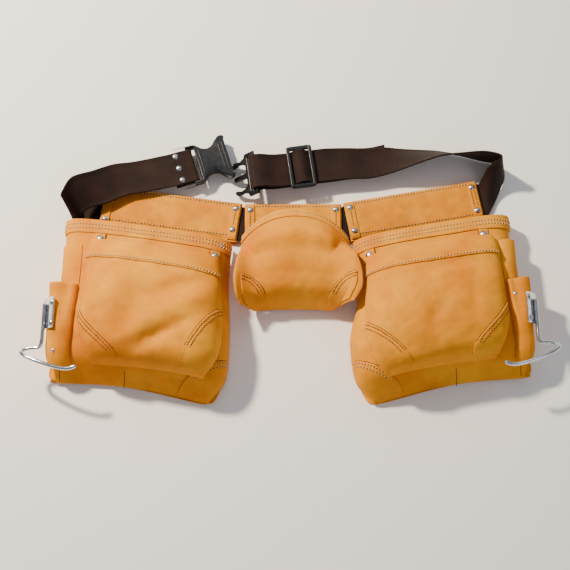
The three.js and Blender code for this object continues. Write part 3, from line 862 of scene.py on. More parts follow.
def seam_line(surface: Surface, across: Values, along: Values, lift: float, pitch: float,
              offset: float = 0.0, phase: float = 0.5) -> SeamLine:
    """Evenly spaced places on a line drawn on a surface.

    Args:
        surface: leather surface.
        across: shares of the line's points.
        along: shares of the line's points.
        lift: height over the surface.
        pitch: distance from stitch to stitch.
        offset: sideways shift of the line in millimetres.
        phase: part of a pitch before the first stitch.

    Returns:
        The seam line.
    """
    across, along = np.broadcast_arrays(np.asarray(across, float), np.asarray(along, float))
    points = surface.at(across, along, lift)
    normals = surface.normal(across, along)
    runs = np.gradient(points, axis=0)
    runs /= np.maximum(np.linalg.norm(runs, axis=1, keepdims=True), 1e-9)
    points = points + np.cross(normals, runs) * offset
    length = lengths(points)
    count = max(int(length[-1] / pitch), 1)
    marks = (np.arange(count) + phase) * length[-1] / count
    marks = marks[marks < length[-1]]

    def take(values: Grid) -> Grid:
        """Reads the line's values at the marks."""
        return np.stack([np.interp(marks, length, values[:, axis]) for axis in range(3)], -1)

    return SeamLine(take(points), take(runs), take(normals))


@dataclass(frozen=True)
class Mark:
    """Size of one repeated mark: along the run, across it and off the leather."""

    run: float
    wide: float
    high: float
    sink: float = 0.0


STITCH = Mark(3.1, 1.5, 1.5, 0.0)
SLANT = Mark(4.6, 1.8, 1.7, 0.0)
# Dark spot at each needle hole: painted shade in the hole.
HOLE = Mark(1.7, 2.0, 0.6, 0.06)
# Dark dashes sunk into the leather that overlap into a line of painted shadow beside a sewn edge.
SHADE_LINE = Mark(3.4, 1.3, 0.8, 0.2)


class Repeat:
    """Places one small rounded mark at many points through a node group."""

    SOCKETS = (("Run", "NodeSocketFloat"), ("Wide", "NodeSocketFloat"), ("High", "NodeSocketFloat"),
               ("Slant", "NodeSocketFloat"), ("Seed", "NodeSocketInt"), ("Finish", "NodeSocketMaterial"))

    def __init__(self) -> None:
        """Builds the shared node group."""
        tree = bpy.data.node_groups.new("marks along a seam", "GeometryNodeTree")
        tree.interface.new_socket("Geometry", in_out="INPUT", socket_type="NodeSocketGeometry")
        self.names = {}
        for name, kind in self.SOCKETS:
            self.names[name] = tree.interface.new_socket(name, in_out="INPUT", socket_type=kind).identifier
        tree.interface.new_socket("Geometry", in_out="OUTPUT", socket_type="NodeSocketGeometry")
        self.tree = tree

        def add(kind: str, inputs: dict = None, **settings: object) -> bpy.types.Node:
            """Adds a node to this group."""
            return add_node(tree, kind, inputs, **settings)

        given = add("NodeGroupInput")
        scale = add("ShaderNodeCombineXYZ", {0: given.outputs["Run"], 1: given.outputs["Wide"],
                                             2: given.outputs["High"]})
        ball = add("GeometryNodeMeshUVSphere", {"Segments": 8, "Rings": 6, "Radius": 0.5})
        shaped = add("GeometryNodeTransform", {"Geometry": ball.outputs[0], "Scale": scale.outputs[0]})
        shaded = add("GeometryNodeSetShadeSmooth", {"Geometry": shaped.outputs[0]})
        run = add("GeometryNodeInputNamedAttribute", {"Name": "run"}, data_type="FLOAT_VECTOR")
        off = add("GeometryNodeInputNamedAttribute", {"Name": "off"}, data_type="FLOAT_VECTOR")
        turn = add("FunctionNodeAxesToRotation", {0: off.outputs[0], 1: run.outputs[0]},
                   primary_axis="Z", secondary_axis="X")
        low = add("ShaderNodeMath", {0: given.outputs["Slant"], 1: 0.09}, operation="SUBTRACT")
        high = add("ShaderNodeMath", {0: given.outputs["Slant"], 1: 0.09}, operation="ADD")
        angle = add("FunctionNodeRandomValue", {"Seed": given.outputs["Seed"]}, data_type="FLOAT")
        tree.links.new(low.outputs[0], angle.inputs[2])
        tree.links.new(high.outputs[0], angle.inputs[3])
        spin = add("FunctionNodeAxisAngleToRotation", {"Angle": angle.outputs[1]})
        spin.inputs["Axis"].default_value = (0, 0, 1)
        both = add("FunctionNodeRotateRotation", {0: turn.outputs[0], 1: spin.outputs[0]},
                   rotation_space="LOCAL")
        size = add("FunctionNodeRandomValue", {"Seed": given.outputs["Seed"]}, data_type="FLOAT")
        size.inputs[2].default_value = 0.88
        size.inputs[3].default_value = 1.1
        placed = add("GeometryNodeInstanceOnPoints", {"Points": given.outputs["Geometry"],
                                                      "Instance": shaded.outputs[0],
                                                      "Rotation": both.outputs[0], "Scale": size.outputs[1]})
        real = add("GeometryNodeRealizeInstances", {0: placed.outputs[0]})
        coloured = add("GeometryNodeSetMaterial", {0: real.outputs[0], "Material": given.outputs["Finish"]})
        add("NodeGroupOutput", {0: coloured.outputs[0]})

    def build(self, name: str, lines: Sequence[SeamLine], mark_size: Mark, material: Material,
              slant: float = 0.0) -> Piece:
        """Makes one mesh of all marks on some seam lines.

        Args:
            name: piece name.
            lines: seam lines.
            mark_size: size of one mark.
            material: its finish.
            slant: turn of each mark from the run, in degrees.

        Returns:
            The finished piece.
        """
        points = np.concatenate([line.points - line.normals * mark_size.sink for line in lines])
        mesh = bpy.data.meshes.new(name)
        mesh.from_pydata((points * MM).tolist(), [], [])
        for key, part in (("run", "runs"), ("off", "normals")):
            layer = mesh.attributes.new(key, "FLOAT_VECTOR", "POINT")
            values = np.concatenate([getattr(line, part) for line in lines])
            layer.data.foreach_set("vector", values.astype(np.float32).reshape(-1))
        piece = bpy.data.objects.new(name, mesh)
        bpy.context.scene.collection.objects.link(piece)
        step = piece.modifiers.new("marks", "NODES")
        step.node_group = self.tree
        values = {"Run": mark_size.run * MM, "Wide": mark_size.wide * MM, "High": mark_size.high * MM,
                  "Slant": math.radians(slant), "Seed": SEED, "Finish": material}
        for key, value in values.items():
            step[self.names[key]] = value
        made = plain(piece, name)
        for key in ("run", "off"):
            if key in made.data.attributes:
                made.data.attributes.remove(made.data.attributes[key])
        return made


class Thread(Enum):
    """Kinds of stitches."""

    LIGHT = "light"
    DARK = "dark"
    SLANT = "slant"


@dataclass
class Sewing:
    """Collects seam lines and makes threads, dark needle holes and dark lines of them; the dark of the holes
    is painted shade and the dark lines are painted shadow.
    """

    name: str
    repeat: Repeat
    palette: Palette
    shade_line_pitch: float = 1.6
    slant: float = 68.0
    stitches: dict = field(default_factory=lambda: {kind: [] for kind in Thread})
    holes: list = field(default_factory=list)
    shade_lines: list = field(default_factory=list)

    def row(self, surface: Surface, across: Values, along: Values, lift: float,
            offset: float = 0.0, thread: Thread = Thread.LIGHT, pitch: float = STITCH_PITCH) -> None:
        """Adds a row of stitches with a needle hole between each two; the hole is a dark spot of painted
        shade.
        """
        self.stitches[thread].append(seam_line(surface, across, along, lift, pitch, offset, 0.5))
        self.holes.append(seam_line(surface, across, along, lift, pitch, offset, 0.0))

    def shade_line(self, surface: Surface, across: Values, along: Values, lift: float,
               offset: float = 0.0) -> None:
        """Adds a dark line of painted shadow beside a sewn edge."""
        self.shade_lines.append(seam_line(surface, across, along, lift, self.shade_line_pitch, offset))

    def build(self) -> None:
        """Makes the pieces."""
        looks = {Thread.LIGHT: (STITCH, self.palette.thread, 0.0),
                 Thread.DARK: (STITCH, self.palette.thread_dark, 0.0),
                 Thread.SLANT: (SLANT, self.palette.thread, self.slant)}
        for kind, lines in self.stitches.items():
            if lines:
                size, look, slant = looks[kind]
                put_on(self.repeat.build(f"stitches_{self.name}_{kind.value}", lines, size, look, slant))
        # Dark spots of painted shade in the needle holes, then dark lines of painted shadow beside the sewn
        # edges.
        if self.holes:
            put_on(self.repeat.build(f"needle_holes_{self.name}", self.holes, HOLE, self.palette.pierced))
        if self.shade_lines:
            name = f"pressed_edges_{self.name}"
            put_on(self.repeat.build(name, self.shade_lines, SHADE_LINE, self.palette.pierced))


# Apron geometry

@dataclass(frozen=True)
class Wing:
    """One half of the apron: its place on the floor and the offsets of its pieces."""

    name: str
    hand: int
    corner: Sequence[float]
    turn: float
    tunnel: Sequence[float]
    shift: float = 0.0
    tuck: float = 0.0
    pocket_shift: float = 0.0
    side_start: float = 0.65

    def point(self, out: Values, down: Values, up: Values) -> np.ndarray:
        """Place from the wing's frame: out along the top edge, down from it, up.

        Args:
            out: places out along the wing.
            down: places down from the fold.
            up: heights.

        Returns:
            The points in the part's frame.
        """
        turn = math.radians(self.turn)
        out, down, up = np.broadcast_arrays(*(np.asarray(values, float) for values in (out, down, up)))
        x = self.corner[0] + self.hand * (out * math.cos(turn) + down * math.sin(turn))
        y = self.corner[1] + out * math.sin(turn) - down * math.cos(turn)
        return np.stack([x, y, up], -1) + HOME


LEFT = Wing("left", -1, (-70.4, 31.4), 8.2, (0, 192), 5, 0, 0, 0.69)
RIGHT = Wing("right", 1, (84.9, 35.3), 10.1, (-15, 173), -26, 12, 11, 0.73)
CENTRE = Wing("centre", 1, (0, 31), 0, (-66.5, 67))

# Main bag from mouth to foot: inner edge, outer edge, height of the front
BAG_ROWS = ((1, 226, 41), (0, 222, 46), (-3, 218, 50), (-8, 215, 52), (-13, 214, 53), (-17, 213, 52),
            (-20, 212, 49), (-18, 211, 37), (-2, 199, 0.9))

# Front pocket from mouth to foot: inner edge, outer edge, rise over the bag
POCKET_ROWS = ((13, 181, 7), (8, 182, 14), (3, 181, 19), (-1, 180, 22), (-5, 178, 24), (-8, 176, 26),
               (-9, 173, 25), (-5, 165, 17), (6, 152, 1.5))

# Centre pocket from mouth to foot: left edge, right edge, rise
CENTRE_ROWS = ((-68, 72, 20), (-70, 78, 30), (-73, 83, 41), (-76, 88, 47), (-78, 91, 46), (-77, 90, 34),
               (-73, 82, 1.5))

# Corner patches of the front pockets: share down the side where the arc starts, and its bow
PATCH_STARTS = {("left", "inner"): (0.46, 0.95), ("left", "outer"): (0.63, 0.25),
                ("right", "inner"): (0.58, 0.75), ("right", "outer"): (0.6, 0.45)}

# Small rivets on the hems (out along the wing, down) and one on each sleeve (its own shares)
HEM_METAL = {"left": (("hem", 11.0, 77.0),), "right": ()}
SLEEVE_METAL = {"left": ("eyelet", 0.42, 0.86), "right": ("sleeve", 0.22, 0.2)}

# Swell of the side pockets at the mouth
SIDE_SWELL = {"left": 3.0, "right": 7.0}

BAG_DENTS = {
    "left": (Dent(-268, -55, 9, 34, 8, -2.2), Dent(-300, -60, 8, 30, 8, -1.6),
             Dent(-150, -160, 60, 12, -8, 1.5)),
    "right": (Dent(150, -150, 60, 12, 10, 1.5), Dent(110, -40, 14, 40, -5, -1.5)),
}
POCKET_DENTS = {
    "left": (Dent(-146, -52, 44, 11, 20, -6.0), Dent(-128, -72, 40, 9, 24, 2.6),
             Dent(-178, -122, 46, 10, 26, -6.2), Dent(-205, -88, 30, 14, 62, -3.2),
             Dent(-222, -62, 40, 20, 60, 2.2), Dent(-250, -92, 12, 34, 10, -2.6),
             Dent(-120, -24, 34, 8, 4, -2.6), Dent(-140, -140, 30, 9, -12, 2.2),
             Dent(-160, -96, 60, 12, 22, 2.0)),
    "right": (Dent(192, -92, 18, 11, 60, -4.6), Dent(176, -60, 55, 26, -15, 2.2),
              Dent(240, -66, 14, 44, -12, -2.6), Dent(150, -128, 34, 12, -20, -2.4),
              Dent(215, -20, 60, 7, 10, -2.4), Dent(222, -112, 30, 12, 40, 1.8)),
}
CENTRE_DENTS = (Dent(22, 24, 15, 24, 20, -3.4), Dent(-25, 10, 34, 22, -10, 1.4),
                Dent(46, 4, 12, 30, -20, -1.6),
                Dent(-60, 0, 10, 26, 10, -1.2))


@dataclass(frozen=True)
class Toe:
    """Fullness of a bag down to its toe: the table's own slope mixed with a steeper drop."""

    column: int
    rows: Sequence
    start: float
    fall: float
    share: float

    def at(self, along: Values) -> Values:
        """Height over the back at shares down the bag.

        Args:
            along: shares down the bag.

        Returns:
            The heights in millimetres.
        """
        drop = np.clip((along - self.start) / (1 - self.start), 0, 1) ** self.fall
        full = read_row(self.rows, self.column, np.minimum(along, self.start))
        full = full * np.sqrt(np.clip(1 - drop, 0, 1))
        return mix(full, read_row(self.rows, self.column, along), self.share)


def bag_foot(share: Values) -> Values:
    """Foot of the bag, arched up between its corners."""
    return BAG_FOOT - BAG_ARCH * hump(share)


def bag_inner(wing: Wing, along: Values) -> Values:
    """Inner edge of the main bag."""
    return read_row(BAG_ROWS, 0, along) + wing.tuck * (1 - smooth(0.35, 0.62, along))


def gather(along: Values, place: Values, reach: float = 0.16) -> Values:
    """Small puckers where the leather is gathered into the foot seam.

    Args:
        along: shares down the bag.
        place: places out along the wing.
        reach: share down the bag over which the folds fade.

    Returns:
        The height of the folds.
    """
    fade = np.exp(-((1 - along) / reach) ** 2) * hump(along * 0.9 + 0.1)
    wave = np.sin(2 * math.pi * place / 19 + 1.3) + 0.6 * np.sin(2 * math.pi * place / 11.3 + 0.4)
    return 0.75 * fade * wave


@dataclass
class Bags:
    """Surfaces of one wing's bag and front pocket."""

    wing: Wing
    bag_toe: Toe = Toe(2, BAG_ROWS, 0.78, 4.2, 0.85)
    pocket_toe: Toe = Toe(2, POCKET_ROWS, 0.74, 9, 0.12)
    pocket_arch: float = 3.0
    shoulder: float = 226.0

    def __post_init__(self) -> None:
        """Makes the two surfaces."""
        self.bag = Surface(self.bag_place)
        self.pocket = Surface(self.pocket_place)

    def bag_place(self, across: Values, along: Values) -> Grid:
        """Main bag from the inner foot over the front to the outer foot.

        Args:
            across: shares across.
            along: shares along.

        Returns:
            The points.
        """
        side, rise = squared_oval(across, BAG_SQUARENESS)
        out = mix(bag_inner(self.wing, along), read_row(BAG_ROWS, 1, along), (side + 1) / 2)
        down = mix(BAG_MOUTH, bag_foot((side + 1) / 2), along)
        up = BAG_BASE + self.bag_toe.at(along) * rise
        points = self.wing.point(out + self.wing.shift, down, up + gather(along, out) * rise)
        return dented(points, rise * smooth(0, 0.08, along), BAG_DENTS[self.wing.name], SEED + self.wing.hand)

    def bag_front(self, out: Values, down: Values) -> Values:
        """Height of the bag's front over a place on the wing.

        Args:
            out: places out along the wing.
            down: places down from the fold.

        Returns:
            The height of the front there.
        """
        along = (down - BAG_MOUTH) / (bag_foot(out / self.shoulder) - BAG_MOUTH)
        inner, outer = bag_inner(self.wing, along), read_row(BAG_ROWS, 1, along)
        side = np.minimum(np.abs((2 * out - inner - outer) / (outer - inner)), 0.999)
        rise = (1 - side ** BAG_SQUARENESS) ** (1 / BAG_SQUARENESS)
        return BAG_BASE + self.bag_toe.at(along) * rise

    def pocket_place(self, across: Values, along: Values) -> Grid:
        """Front pocket from its inner foot over the front to the outer foot.

        Args:
            across: shares across.
            along: shares along.

        Returns:
            The points.
        """
        side, rise = squared_oval(across, POCKET_SQUARENESS)
        inner, outer = read_row(POCKET_ROWS, 0, along), read_row(POCKET_ROWS, 1, along)
        out = mix(inner, outer, (side + 1) / 2) + self.wing.pocket_shift
        down = mix(POCKET_MOUTH, POCKET_FOOT - self.pocket_arch * hump((side + 1) / 2), along)
        rest = self.bag_front(out, down) + LEATHER + SEAM
        up = rest + rise * self.pocket_toe.at(along) + 0.8 * gather(along, out) * rise
        points = self.wing.point(out + self.wing.shift, down, up)
        share = rise * (0.35 + 0.65 * smooth(0, 0.2, along))
        return dented(points, share, POCKET_DENTS[self.wing.name], SEED + 5 * self.wing.hand, 0.8)

    def bag_share(self, out: Values, down: Values) -> tuple:
        """Shares of the bag at a place on the wing.

        Args:
            out: places out along the wing.
            down: places down from the fold.

        Returns:
            Shares across and along the bag.
        """
        along = (down - BAG_MOUTH) / (bag_foot(out / self.shoulder) - BAG_MOUTH)
        inner, outer = bag_inner(self.wing, along), read_row(BAG_ROWS, 1, along)
        return share_at(out, inner, outer, BAG_SQUARENESS), along


def patch_seams(sewing: Sewing, surface: Surface, place: Callable, lift: float, side: float,
                thread: Thread = Thread.DARK, rows: Sequence[float] = (2.6, 7.4),
                ends: Sequence[float] = (0.03, 0.97)) -> None:
    """Rows of stitches beside the arc of a corner patch, and a dark line of painted shadow along the arc.

    Args:
        sewing: collector of the rows.
        surface: leather surface.
        place: the patch's own shares to surface shares.
        lift: height of the patch's face.
        side: 1 or -1, the side of the arc the patch lies on.
        thread: kind of stitches.
        rows: distances of the rows from the arc.
        ends: part of the arc that is sewn.
    """
    run = np.linspace(*ends, 160)
    across, along = place(run, np.zeros_like(run))
    points, normals = surface.at(across, along), surface.normal(across, along)
    runs = np.gradient(points, axis=0)
    runs /= np.maximum(np.linalg.norm(runs, axis=1, keepdims=True), 1e-9)
    inward = np.cross(normals, runs) * side
    step = 0.01
    wide = surface.at(across + step, along) - points
    deep = surface.at(across, along + step) - points
    for distance in rows:
        grid = np.stack([wide, deep, normals], -1)
        shift = np.linalg.solve(grid, (inward * distance)[..., None])[..., 0] * step
        keep = (along + shift[:, 1] < 0.975) & (np.abs(shift[:, 0]) < 0.12)
        sewing.row(surface, (across + shift[:, 0])[keep], (along + shift[:, 1])[keep], lift, 0.0, thread)
    # dark line of painted shadow where the patch's edge meets the leather below it
    sewing.shade_line(surface, across, along, lift - TRIM, -0.3 * side)


@dataclass
class MainBag:
    """Bag, hem, front pocket, patches, side pocket, sleeve and ears of one wing."""

    wing: Wing
    palette: Palette
    repeat: Repeat
    hem_rows: Sequence[float] = (8.4, 14.0)
    # places of the painted shadow lines down the bag's seams: out along the wing and first place down, then
    # where they end
    shadow_lines: Sequence = ((196.0, 258.0), (110.0, 264.0))
    shadow_end: float = 281.5
    patch_foot: Sequence[float] = (38.0, 284.0)
    patch_step: float = 2.2
    ear_places: Sequence = (("inner", 18.0), ("outer", 172.0))
    ear_width: float = 13.0
    side_swell: float = 9.0
    sleeve_full: Sequence[float] = (14.0, 8.0)
    tuck: float = 8.5
    rivets: list = field(default_factory=list)

    def __post_init__(self) -> None:
        """Makes the surfaces and starts the sewing."""
        self.name = self.wing.name
        self.surfaces = Bags(self.wing)
        self.sewing = Sewing(f"bag_{self.name}", self.repeat, self.palette)

    def piece(self, name: str, hide: Hide) -> None:
        """Builds a leather piece in place of the drawing's part of the same name."""
        put_on(hide.build(name, self.palette.hide), [name])

    def build(self) -> None:
        """Makes every piece of the wing."""
        self.main()
        self.front_pocket()
        self.side()
        self.ears()
        self.small_rivets()
        self.sewing.build()

    def main(self) -> None:
        """Main bag with its folded hem and corner patches."""
        bag, name = self.surfaces.bag, self.name
        self.piece(f"bag_{name}", Hide(bag, whole, level(0), LEATHER))
        top = LEATHER + TOUCH
        hem = span((0.05, 0.95), (0.0, HEM_DEPTH / (BAG_FOOT - BAG_MOUTH)))
        self.piece(f"bag_hem_{name}", Hide(bag, hem, level(top), TRIM, 2.4, 0.5))
        run = np.linspace(0.055, 0.945, 900)
        for down in self.hem_rows:
            share = down / (BAG_FOOT - BAG_MOUTH)
            self.sewing.row(bag, run, np.full_like(run, share), ON_TRIM + 0.45, 0.0, Thread.SLANT,
                            SLANT_PITCH)
        place = corner((0.07, self.surfaces.bag_share(*self.patch_foot)[0]), 0.76, 0.965, 0.985, 0.9)
        patch = Hide(bag, place, level(top), TRIM, self.patch_step, 0.25)
        put_on(patch.build(f"bag_patch_{name}_inner", self.palette.hide))
        patch_seams(self.sewing, bag, place, ON_TRIM + 0.25, -self.wing.hand, Thread.LIGHT, ends=(0.05, 0.93))
        # dark lines of painted shadow down the bag's seams
        for out, first in self.shadow_lines:
            down = np.linspace(first, self.shadow_end, 30)
            across, along = self.surfaces.bag_share(np.full_like(down, out), down)
            self.sewing.shade_line(bag, across, along, LEATHER)

    def front_pocket(self) -> None:
        """Front pocket with its turned hem and corner patches."""
        pocket, name, hand = self.surfaces.pocket, self.name, self.wing.hand
        self.piece(f"front_pocket_{name}", Hide(pocket, whole, level(0), LEATHER))
        top = LEATHER + TOUCH
        hem = span((1 / 18, 17 / 18), (0, 2 / 11))
        self.piece(f"pocket_hem_{name}", Hide(pocket, hem, level(top), TRIM, 2.4, 0.6))
        run = np.linspace(1.1 / 18, 16.9 / 18, 700)
        self.sewing.row(pocket, run, np.full_like(run, 1.84 / 11), ON_TRIM + 0.35, 0.0, Thread.SLANT,
                        SLANT_PITCH)
        for end, across, side in (("inner", (1 / 18, 7 / 18), -1), ("outer", (17 / 18, 11 / 18), 1)):
            start, bow = PATCH_STARTS[name, end]
            place = corner(across, start, 0.95, 0.975, bow)
            patch = Hide(pocket, place, level(top), TRIM, self.patch_step, 0.25)
            self.piece(f"pocket_patch_{name}_{end}", patch)
            patch_seams(self.sewing, pocket, place, ON_TRIM + 0.25, side * hand)

    def side(self) -> None:
        """Side pocket and the tool sleeve over it."""
        bag, name, start = self.surfaces.bag, self.name, self.wing.side_start

        def side_lift(x: Values, y: Values, swell: float = SIDE_SWELL[name]) -> Values:
            """Height of the side pocket over the bag."""
            return LEATHER + TOUCH + swell * hump(x) * (1 - y)

        def sleeve_lift(x: Values, y: Values) -> Values:
            """Height of the sleeve over the bag.

            Args:
                x: shares across the sleeve.
                y: shares down the sleeve.

            Returns:
                The heights in millimetres.
            """
            below = side_lift(x * (0.9 - start) / (0.95 - start), (mix(5, 10, y) - 2) / 8, self.side_swell)
            folds = 1.3 * np.sin(2 * math.pi * (1.6 * x + 0.1)) * (1 - y) ** 1.5 * hump(x)
            tuck = self.tuck * np.exp(-((x - 0.24) / (0.05 + 0.1 * (1 - y))) ** 2)
            tuck = tuck * np.clip(1 - y / 0.6, 0, 1)
            full = mix(*self.sleeve_full, y) * hump(x) ** 0.6 + folds - tuck
            return below + TRIM + 0.2 + np.maximum(full, 0.6 * hump(x))

        side = span((start, 0.95), (2 / 11, 10 / 11))
        self.piece(f"side_pocket_{name}", Hide(bag, side, side_lift, TRIM, 2.4))
        place = span((start, 0.9), (5 / 11, 10 / 11))
        self.piece(f"tool_sleeve_{name}", Hide(bag, place, sleeve_lift, LEATHER, 2.2))
        self.sleeve = Surface(lambda x, y: bag.at(*place(x, y), sleeve_lift(x, y) + LEATHER))

    def small_rivets(self) -> None:
        """Small rivets at the hem's inner end and on the sleeve."""
        spots = []
        for label, out, down in HEM_METAL[self.name]:
            place = self.surfaces.bag_share(np.array(out), np.array(down))
            spots.append((label, self.surfaces.bag, place, LEATHER + TRIM + 0.2))
        label, x, y = SLEEVE_METAL[self.name]
        spots.append((label, self.sleeve, (np.array(x), np.array(y)), 0.2))
        for label, surface, place, lift in spots:
            seat, normal = surface.at(*place, lift), surface.normal(*place)
            self.rivets.append((f"small_{label}_{self.name}", seat, normal))

    def ears(self) -> None:
        """Riveted ears of the front pocket, each with a dark line of painted shadow beside its slit edge."""
        wing = self.wing
        down = (BAG_MOUTH + HEM_DEPTH + 0.6, POCKET_MOUTH + 10)
        for end, place in self.ear_places:
            out = place + wing.pocket_shift
            edges = [self.surfaces.bag_share(out + way * self.ear_width / 2, 92.0)[0] for way in (-1, 1)]
            along = [(value - BAG_MOUTH) / (BAG_FOOT - BAG_MOUTH) for value in down]
            ear = Hide(self.surfaces.bag, span(edges, along), level(LEATHER + TOUCH), TRIM, 1.5, 0.2)
            self.piece(f"pocket_ear_{wing.name}_{end}", ear)
            middle, share = sum(edges) / 2, sum(along) / 2 - 2.5 / (BAG_FOOT - BAG_MOUTH)
            seat = self.surfaces.bag.at(middle, share, LEATHER + TRIM + 0.9)
            normal = self.surfaces.bag.normal(np.array(middle), np.array(share))
            self.rivets.append((f"rivet_ear_{wing.name}_{end}", seat, normal))
            # dark line of painted shadow beside the ear's edge
            slit = out + self.ear_width / 2 * (1 if end == "inner" else -1)
            run = np.linspace(down[0], down[1] - 1, 24)
            across, share_down = self.surfaces.bag_share(np.full_like(run, slit), run)
            self.sewing.shade_line(self.surfaces.bag, across, share_down, LEATHER + TRIM)


def tunnel_place(wing: Wing) -> Surface:
    """Folded leather tunnel: along runs round the fold, across runs out along the belt.

    Args:
        wing: half of the apron.

    Returns:
        The surface.
    """
    under, over = TUNNEL_BASE, TUNNEL_TOP - LEATHER
    outline = ((TUNNEL_DEPTH, under), (40, under), (20, under), (4, under + 0.2), (0.6, under + 1.6),
               (0.0, (under + over) / 2 + 0.5), (0.6, over - 1.4), (4, over), (20, over + 0.3),
               (36, over + 0.3), (48, over - 0.2), (53, over - 2.6), (TUNNEL_DEPTH, under + LEATHER + 0.3))
    low, high = wing.tunnel

    def place(across: Values, along: Values) -> Grid:
        """Points of the tunnel.

        Args:
            across: shares out along the belt.
            along: shares round the fold.

        Returns:
            The points in the part's frame.
        """
        out = mix(low, high, across)
        down, up = read_row(outline, 0, along), read_row(outline, 1, along)
        front = smooth(0.42, 0.6, along)
        edge = 0.5 * soft_noise(out, down * 0, SEED + 40 + wing.hand, 40, 120) * smooth(0.3, 0.5, along)
        points = wing.point(out, down + edge, up)
        return dented(points, front * hump(across) ** 0.4, (), SEED + 11 * wing.hand + 3, 0.5)

    return Surface(place, 0.8)


@dataclass
class Tunnel:
    """Belt tunnel with its end strips, rivets and seams."""

    wing: Wing
    rivet_rows: dict
    palette: Palette
    repeat: Repeat
    strip_width: float = 12.0
    strip_inset: float = 1.5
    seam_rows: Sequence[float] = (3.2, 48.0)
    seam_gap: float = 2.4

    def __post_init__(self) -> None:
        """Makes the surface and starts the sewing."""
        self.surface = tunnel_place(self.wing)
        self.sewing = Sewing(f"tunnel_{self.wing.name}", self.repeat, self.palette)

    def share(self, down: float) -> float:
        """Share round the fold of a place on the front, down from the folded edge.

        Args:
            down: distance down from the fold.

        Returns:
            The share along the tunnel.
        """
        along = np.linspace(0.45, 1, 400)
        points = self.surface.place(np.full_like(along, 0.5), along)
        origin = self.surface.place(np.array([0.5]), np.array([0.42]))[0]
        return float(np.interp(down, np.linalg.norm((points - origin)[:, :2], axis=1), along))

    def build(self) -> list:
        """Makes the tunnel, strips and seams.

        Returns:
            Name, seat and direction of each rivet.
        """
        name = self.wing.name
        sleeve = Hide(self.surface, whole, level(0), LEATHER, 2.6)
        label = f"belt_tunnel_{name}"
        put_on(sleeve.build(label, self.palette.hide_deep), [label])
        run = np.linspace(0.008, 0.992, 400)
        top, foot = (np.full_like(run, self.share(down)) for down in self.seam_rows)
        self.sewing.row(self.surface, run, top, LEATHER, 0.0, Thread.SLANT, OVERCAST_PITCH)
        self.sewing.row(self.surface, run, foot, LEATHER)
        rivets = []
        length = self.wing.tunnel[1] - self.wing.tunnel[0]
        last = length - self.strip_inset - self.strip_width
        for end, start in (("inner", self.strip_inset), ("outer", last)):
            rivets += self.strip(end, (start / length, (start + self.strip_width) / length))
        self.sewing.build()
        return rivets

    def strip(self, end: str, across: Sequence[float]) -> list:
        """Makes one end strip with its seam.

        Args:
            end: inner or outer.
            across: shares of its two edges.

        Returns:
            Name, seat and direction of each rivet.
        """
        name, rows, middle = self.wing.name, self.rivet_rows[end], sum(across) / 2
        along = (self.share(1.6), self.share(TUNNEL_DEPTH - 3.2))
        strip = Hide(self.surface, span(across, along), level(LEATHER + TOUCH), TRIM, 1.6, 0.3)
        label = f"end_strip_{name}_{end}"
        put_on(strip.build(label, self.palette.hide_deep), [label])
        first, last = rows[0] + 6, (rows[-1] - 6 if len(rows) > 1 else TUNNEL_DEPTH - 8)
        if last > first:
            line = np.linspace(self.share(first), self.share(last), 60)
            offsets = (-self.seam_gap, self.seam_gap) if (name, end) == ("right", "outer") else (0.0,)
            for offset in offsets:
                self.sewing.row(self.surface, np.full_like(line, middle), line, LEATHER + TRIM + 0.3, offset,
                                Thread.DARK)
        places = [(middle, self.share(down)) for down in rows]
        return [(f"rivet_{name}_{end}_{index}", self.surface.at(*place, LEATHER + TRIM + 0.3),
                 self.surface.normal(*place)) for index, place in enumerate(places)]


@dataclass
class BackPanel:
    """Flat hide behind one bag."""

    wing: Wing
    palette: Palette
    bevel: float = 0.7

    def build(self) -> None:
        """Makes the panel."""
        wing = self.wing
        end = wing.tunnel[1] - wing.shift
        inner = wing.tuck
        edge = ((inner + 9, 24), (inner + 3, 60), (inner - 2, 130), (-11, 200), (-18, 250), (-12, 281),
                (-2, 287), (12, 288), (110, 280), (200, 287), (210, 283), (214, 268), (214, 190), (221, 66),
                (end - 2, 58), (end - 4, 24))
        outline = rounded([wing.point(out + wing.shift, down, 0)[:2] for out, down in edge], 6, 1.0)
        name = f"back_panel_{wing.name}"
        place = Matrix.Translation((0, 0, LEATHER / 2 * MM))
        panel = plate(name, [outline], LEATHER, self.bevel, place, self.palette.hide)
        put_on(panel, [name])


def plate(name: str, outlines: Sequence, thick: float, bevel: float, place: Matrix,
          material: Material) -> Piece:
    """Flat part with rounded edges.

    Args:
        name: piece name.
        outlines: outer outline and then its holes, in millimetres.
        thick: full thickness.
        bevel: radius of its edges.
        place: where its middle plane goes, in metres.
        material: finish.

    Returns:
        The piece as a plain mesh.
    """
    curve = bpy.data.curves.new(name, "CURVE")
    curve.dimensions = "2D"
    curve.fill_mode = "BOTH"
    for outline in outlines:
        line = curve.splines.new("POLY")
        line.points.add(len(outline) - 1)
        for point, (x, y) in zip(line.points, outline):
            point.co = (x * MM, y * MM, 0, 1)
        line.use_cyclic_u = True
    curve.offset = -bevel * MM
    curve.extrude = (thick / 2 - bevel) * MM
    curve.bevel_depth = bevel * MM
    curve.bevel_resolution = 3
    piece = bpy.data.objects.new(name, curve)
    bpy.context.scene.collection.objects.link(piece)
    made = plain(piece, name)
    work = bmesh.new()
    work.from_mesh(made.data)
    bmesh.ops.remove_doubles(work, verts=work.verts, dist=0.005 * MM)
    work.transform(place)
    bmesh.ops.recalc_face_normals(work, faces=work.faces)
    work.to_mesh(made.data)
    work.free()
    made.data.materials.clear()
    made.data.materials.append(material)
    made.data.polygons.foreach_set("use_smooth", [True] * len(made.data.polygons))
    made.data.set_sharp_from_angle(angle=SHARP)
    return made


